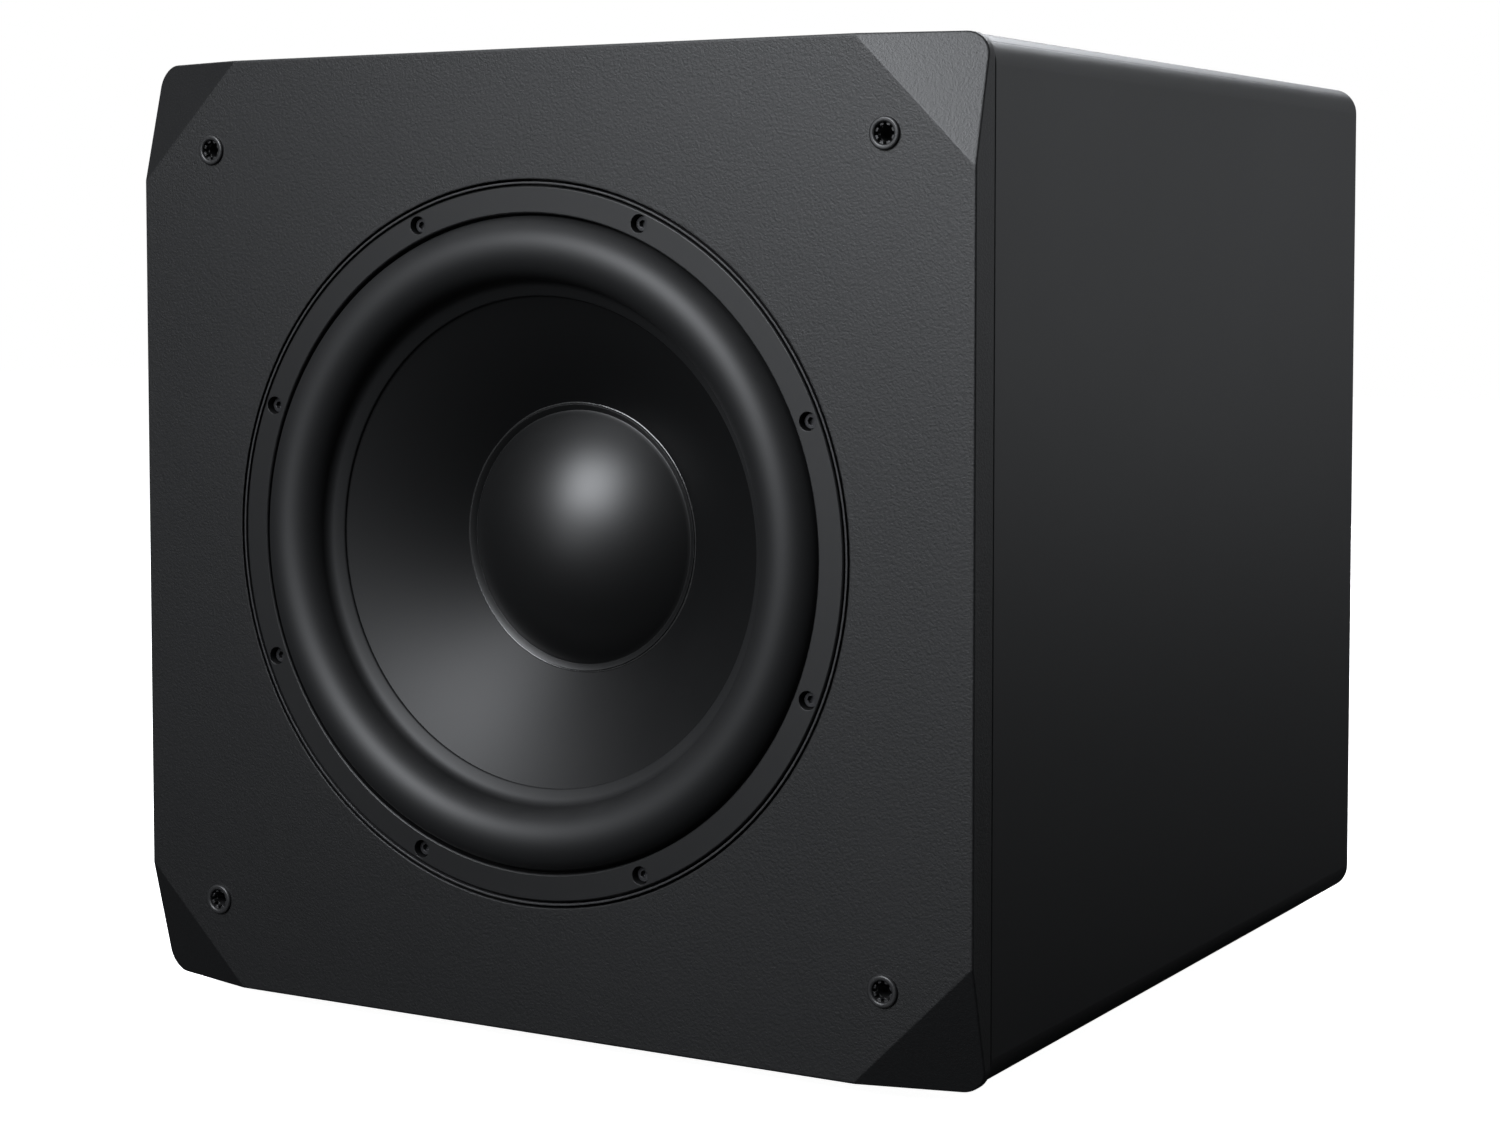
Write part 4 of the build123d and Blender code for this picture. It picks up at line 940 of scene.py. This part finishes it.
def addSurround(shape):
    thick = shape["thick"]
    lipTop = shape["lipDepth"] - thick
    lift = thick * math.hypot(1, coneShape["slope"])
    rollEnd = (shape["rollIn"], coneFace(shape["rollIn"]) - lift)
    roll = arcThrough(shape["rollOut"], shape["crown"], rollEnd, 44)
    # the roll runs out onto the land in a soft curve
    roll = [point for point in roll if math.dist(point, rollEnd) > shape["foot"]]
    footEnd = (shape["rollIn"] - shape["foot"], coneFace(shape["rollIn"] - shape["foot"]) - lift)
    start, bend, end = Vector(roll[-1]), Vector(rollEnd), Vector(footEnd)
    for t in (k / 8 for k in range(1, 9)):
        roll.append(tuple(start * (1 - t) ** 2 + bend * 2 * t * (1 - t) + end * t ** 2))
    landTop = coneFace(shape["landEnd"]) - lift
    outline = [(shape["lipEdge"], lipTop), (shape["rollOut"][0] + 0.5, lipTop)] + roll
    outline += [(shape["landEnd"] + 0.5, landTop - 0.30), (shape["landEnd"], landTop + 0.25),
                (shape["landEnd"], coneFace(shape["landEnd"]))]
    crownRadius, crownDepth = shape["crown"]
    outline += arcThrough((coneShape["edge"], coneFace(coneShape["edge"])), (crownRadius, crownDepth + thick),
                          (shape["rollOut"][0] - thick * 1.4, shape["lipDepth"]), 30)
    outline.append((shape["lipEdge"], shape["lipDepth"]))
    surround = spinOutline("surroundRoll", easeCorners(outline, shape["fillet"], 4), 224)
    dress(surround, "surroundRubber")
    blendRadially(surround, 139.0, 115.0)
    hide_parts("surround")


capShape = {"rim": 58.5, "rimWidth": 3.0, "rise": 24.0, "wall": 1.2, "bead": 0.55, "beadWander": 0.22}


def addDustCap(shape):
    domeRim = shape["rim"] - shape["rimWidth"]
    lift = shape["wall"] * math.hypot(1, coneShape["slope"])
    top = coneFace(domeRim) - lift - shape["rise"]
    radius = (domeRim ** 2 + shape["rise"] ** 2) / (2 * shape["rise"])
    span = math.asin(domeRim / radius)
    angles = [span * k / 40 for k in range(41)]
    dome = [(radius * math.sin(t), top + radius * (1 - math.cos(t))) for t in angles]
    inner = [(r * (1 - shape["wall"] / domeRim), d + shape["wall"]) for r, d in reversed(dome)]
    rim = [
        (domeRim + 0.25, dome[-1][1] + 0.10),
        (domeRim + 0.6, coneFace(domeRim + 0.6) - lift),
        (shape["rim"] - 0.3, coneFace(shape["rim"] - 0.3) - lift),
        (shape["rim"], coneFace(shape["rim"]) - lift * 0.6),
        (shape["rim"], coneFace(shape["rim"])),
    ]
    cap = spinOutline("dustCapDome", dome + rim + inner, 160, closed=False)
    dress(cap, "capPlastic", "cone_assembly")
    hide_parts("dust_cap")
    ring = shape["rim"] + 0.35
    beadRadius = shape["bead"]
    turns = [k * math.pi / 4 for k in range(8)]
    circle = [(ring + beadRadius * math.cos(t), coneFace(ring) + beadRadius * math.sin(t)) for t in turns]
    bead = spinOutline("capGlueBead", circle, 288)
    waves = random.Random(5)
    swings = [(n, waves.uniform(0, 6.28), shape["beadWander"] / (1 + 0.18 * n))
              for n in (3, 5, 8, 13, 21, 34)]
    for vertex in bead.data.vertices:
        x, z = vertex.co.x - centreX, vertex.co.z - centreZ
        angle = math.atan2(z, x)
        wander = sum(size * math.sin(n * angle + phase) for n, phase, size in swings)
        out = Vector((math.cos(angle), 0, math.sin(angle)))
        vertex.co += out * wander * 0.5 * mm
        middle = Vector((centreX, frontY + coneFace(ring) * mm, centreZ)) + out * ring * mm
        vertex.co = middle + (vertex.co - middle) * (1 + 0.35 * wander)
    dress(bead, "capGlue", "cone_assembly")


spiderShape = {
    "depth": 80.0,
    "inside": 33.5,
    "flat": 3.0,
    "outside": 79.0,
    "land": 6.0,
    "wave": 2.4,
    "waves": 5,
    "wall": 0.8,
}


def addSpider(shape):
    start, end = shape["inside"] + shape["flat"], shape["outside"] - shape["land"]
    count = 2 * shape["waves"]
    ridge = [(shape["inside"], shape["depth"])]
    for k in range(10 * count + 1):
        step = k / 10
        if step < 1:
            lift = math.sin(math.pi / 2 * step)
        elif step > count - 1:
            lift = math.cos(math.pi / 2 * (step - count + 1))
        else:
            lift = math.cos(math.pi * (step - 1))
        ridge.append((start + (end - start) * step / count, shape["depth"] + shape["wave"] * lift))
    ridge.append((shape["outside"], shape["depth"]))
    under = [(r, d + shape["wall"]) for r, d in reversed(ridge)]
    spider = spinOutline("spiderDisc", ridge + under, 128)
    dress(spider, "spiderCloth")
    blendRadially(spider, 74.0, 36.0)
    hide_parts("spider")


addCone(coneShape)
addSurround(surroundShape)
addDustCap(capShape)
addSpider(spiderShape)
print("stage: cone, surround, dust cap and spider")


leadShape = {"bendStart": 4.0, "bendEnd": 3.0}


def addTinselLeads(shape):
    # flexible leads from the fixed terminals to the moving cone
    source = nodes["tinsel_leads"]
    mesh = bmesh.new()
    mesh.from_mesh(source.data)
    bmesh.ops.remove_doubles(mesh, verts=mesh.verts, dist=1e-6)
    leads = finishMesh("tinselBraids", mesh, sharp=60.0)
    low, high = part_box("tinsel_leads")
    dress(leads, "tinselBraid")
    start = (centreX, high.y - shape["bendStart"] * mm, low.z)
    end = (centreX, low.y + shape["bendEnd"] * mm, high.z)
    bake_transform(leads, "cabinet", "cone_assembly", start, end)
    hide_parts("tinsel_leads")


addTinselLeads(leadShape)


# damping foam with a convoluted face

padShape = {"thick": 25.0, "base": 12.0, "pitch": 25.0, "perPitch": 6}


def addDampingPads(shape):
    low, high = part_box("damping_pads")
    insideLow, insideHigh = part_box("window_brace")
    depth = (high.y - low.y) / mm
    middleY = (high.y + low.y) / 2
    whole = bmesh.new()
    walls = []  # wall centre, inward direction, run along the wall, length in mm
    centreWallZ = (insideLow.z + insideHigh.z) / 2
    length = 330.0
    for side in (-1, 1):
        edge = insideLow.x if side < 0 else insideHigh.x
        walls.append((Vector((edge, middleY, centreWallZ)), Vector((-side, 0, 0)), Vector((0, 0, 1))))
        edge = insideLow.z if side < 0 else insideHigh.z
        walls.append((Vector((0, middleY, edge)), Vector((0, 0, -side)), Vector((1, 0, 0))))
    across = int(length / shape["pitch"]) * shape["perPitch"]
    along = int(depth / shape["pitch"]) * shape["perPitch"]
    for centre, inward, run in walls:
        made = bmesh.ops.create_grid(whole, x_segments=across, y_segments=along, size=0.5)["verts"]
        rimHeight = shape["base"]
        for vertex in made:
            u, v = vertex.co.x * length, vertex.co.y * depth
            edgeGap = min(length / 2 - abs(u), depth / 2 - abs(v))
            bump = math.cos(2 * math.pi * u / shape["pitch"]) * math.cos(2 * math.pi * v / shape["pitch"])
            height = rimHeight + (shape["thick"] - rimHeight - 0.5) * (0.5 + 0.5 * bump)
            height *= 1 - 0.06 * math.exp(-edgeGap / 3)
            vertex.co = centre + inward * height * mm + run * u * mm + Vector((0, 1, 0)) * v * mm
        faces = set(face for vertex in made for face in vertex.link_faces)
        rim = [edge for edge in set(e for f in faces for e in f.edges) if edge.is_boundary]
        skirt = bmesh.ops.extrude_edge_only(whole, edges=rim)["geom"]
        for item in skirt:
            if isinstance(item, bmesh.types.BMVert):
                off = (item.co - centre).dot(inward)
                item.co -= inward * (off - 0.2 * mm)
        loop = [item for item in skirt if isinstance(item, bmesh.types.BMEdge) and item.is_boundary]
        bmesh.ops.holes_fill(whole, edges=loop, sides=0)
    pads = finishMesh("foamPads", whole, sharp=50.0)
    dress(pads, "foam", "cabinet")
    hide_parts("damping_pads")


addDampingPads(padShape)
print("stage: leads and foam")


# printed marks on the amplifier plate and on the rocker

markShape = {
    "thick": 0.12,
    "ticks": 11,
    "sweep": 150.0,
    "inner": 12.0,
    "outer": 14.5,
    "longer": 1.2,
    "width": 0.55,
}


def addBar(shape, middle, size, turn=0.0, tilt=0.0):
    # a thin bar on the plate: size is across, out from the plate, and up, in millimetres
    matrix = Matrix.Translation(middle) @ Matrix.Rotation(tilt, 4, "X") @ Matrix.Rotation(turn, 4, "Y")
    matrix = matrix @ Matrix.Diagonal((size[0] * mm, size[1] * mm, size[2] * mm, 1))
    bmesh.ops.create_cube(shape, size=1.0, matrix=matrix)


def addPlateMarks(setup):
    shape = bmesh.new()
    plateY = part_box("amp_plate")[1].y
    y = plateY + setup["thick"] * mm / 2 - 0.00002
    thick = setup["thick"]
    for knob in ("volume_knob", "crossover_knob"):
        low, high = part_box(knob)
        x, z = (low.x + high.x) / 2, (low.z + high.z) / 2
        for k in range(setup["ticks"]):
            angle = math.radians(-setup["sweep"] + 2 * setup["sweep"] * k / (setup["ticks"] - 1))
            reach = setup["longer"] if k in (0, setup["ticks"] - 1, setup["ticks"] // 2) else 0.0
            radius = (setup["inner"] + setup["outer"] + reach) / 2
            length = setup["outer"] + reach - setup["inner"]
            place = Vector((x + radius * mm * math.sin(angle), y, z + radius * mm * math.cos(angle)))
            addBar(shape, place, (setup["width"], thick, length), angle)
    for slider in ("phase_slider", "mode_slider"):
        low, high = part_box(slider)
        x, z = (low.x + high.x) / 2, (low.z + high.z) / 2
        for side in (-1, 1):
            addBar(shape, Vector((x + side * 9.5 * mm, y, z)), (0.6, thick, 4.0))
        addBar(shape, Vector((x, y, z - 6.5 * mm)), (13.0, thick, 0.5))
    jackLow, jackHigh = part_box("jack_shells")
    for left, right in ((-10.0, 32.0), (42.0, 84.0)):
        x = jackLow.x + (left + right) / 2 * mm + 0.003
        for edge, side in ((jackHigh.z + 0.005, 1), (jackLow.z - 0.005, -1)):
            addBar(shape, Vector((x, y, edge)), (right - left, thick, 0.5))
            for end in (-1, 1):
                tick = Vector((x + end * (right - left) / 2 * mm, y, edge - side * 0.0012))
                addBar(shape, tick, (0.5, thick, 2.9))
    marks = finishMesh("plateMarks", shape, smooth=False)
    dress(marks, "markInk", "cabinet")


rockerMark = {
    "pivot": (0.088, 0.2215, 0.112),
    "lean": 8.0,  # degrees, of the whole rocker at rest
    "slope": 7.6,  # degrees, of each half's face
    "high": 5.6,
    "face": 2.74,
    "thick": 0.12,
    "width": 0.7,
    "bar": 4.4,
    "ring": 1.7,
}


def addRing(shape, place, radius, width, thick):
    corners = [shape.verts.new(place @ Vector(((radius + across) * mm, out * mm, 0)))
               for across, out in ((0, -thick), (width, -thick), (width, thick), (0, thick))]
    edges = [shape.edges.new((corners[k], corners[(k + 1) % 4])) for k in range(4)]
    outwards = place.to_3x3() @ Vector((0, 1, 0))
    bmesh.ops.spin(shape, geom=corners + edges, cent=place.translation, axis=outwards, dvec=(0, 0, 0),
                   angle=2 * math.pi, steps=36, use_merge=True, use_duplicate=False)


def addRockerMarks(setup):
    # a ring on the half that is pressed in at rest, which is off, and a bar on the other
    shape = bmesh.new()
    turned = Matrix.Translation(setup["pivot"]) @ Matrix.Rotation(math.radians(setup["lean"]), 4, "X")
    upper, lower = (
        turned @ Matrix.Translation((0, setup["face"] * mm, side * setup["high"] * mm))
        @ Matrix.Rotation(math.radians(-side * setup["slope"]), 4, "X")
        for side in (1, -1)
    )
    size = (setup["width"] * mm, 2 * setup["thick"] * mm, setup["bar"] * mm, 1)
    bmesh.ops.create_cube(shape, size=1.0, matrix=lower @ Matrix.Diagonal(size))
    addRing(shape, upper, setup["ring"], setup["width"], setup["thick"])
    marks = finishMesh("rockerMarks", shape, smooth=False)
    dress(marks, "markInk", "rocker")


addPlateMarks(markShape)
addRockerMarks(rockerMark)
print("stage: marks")


print("stage: done")
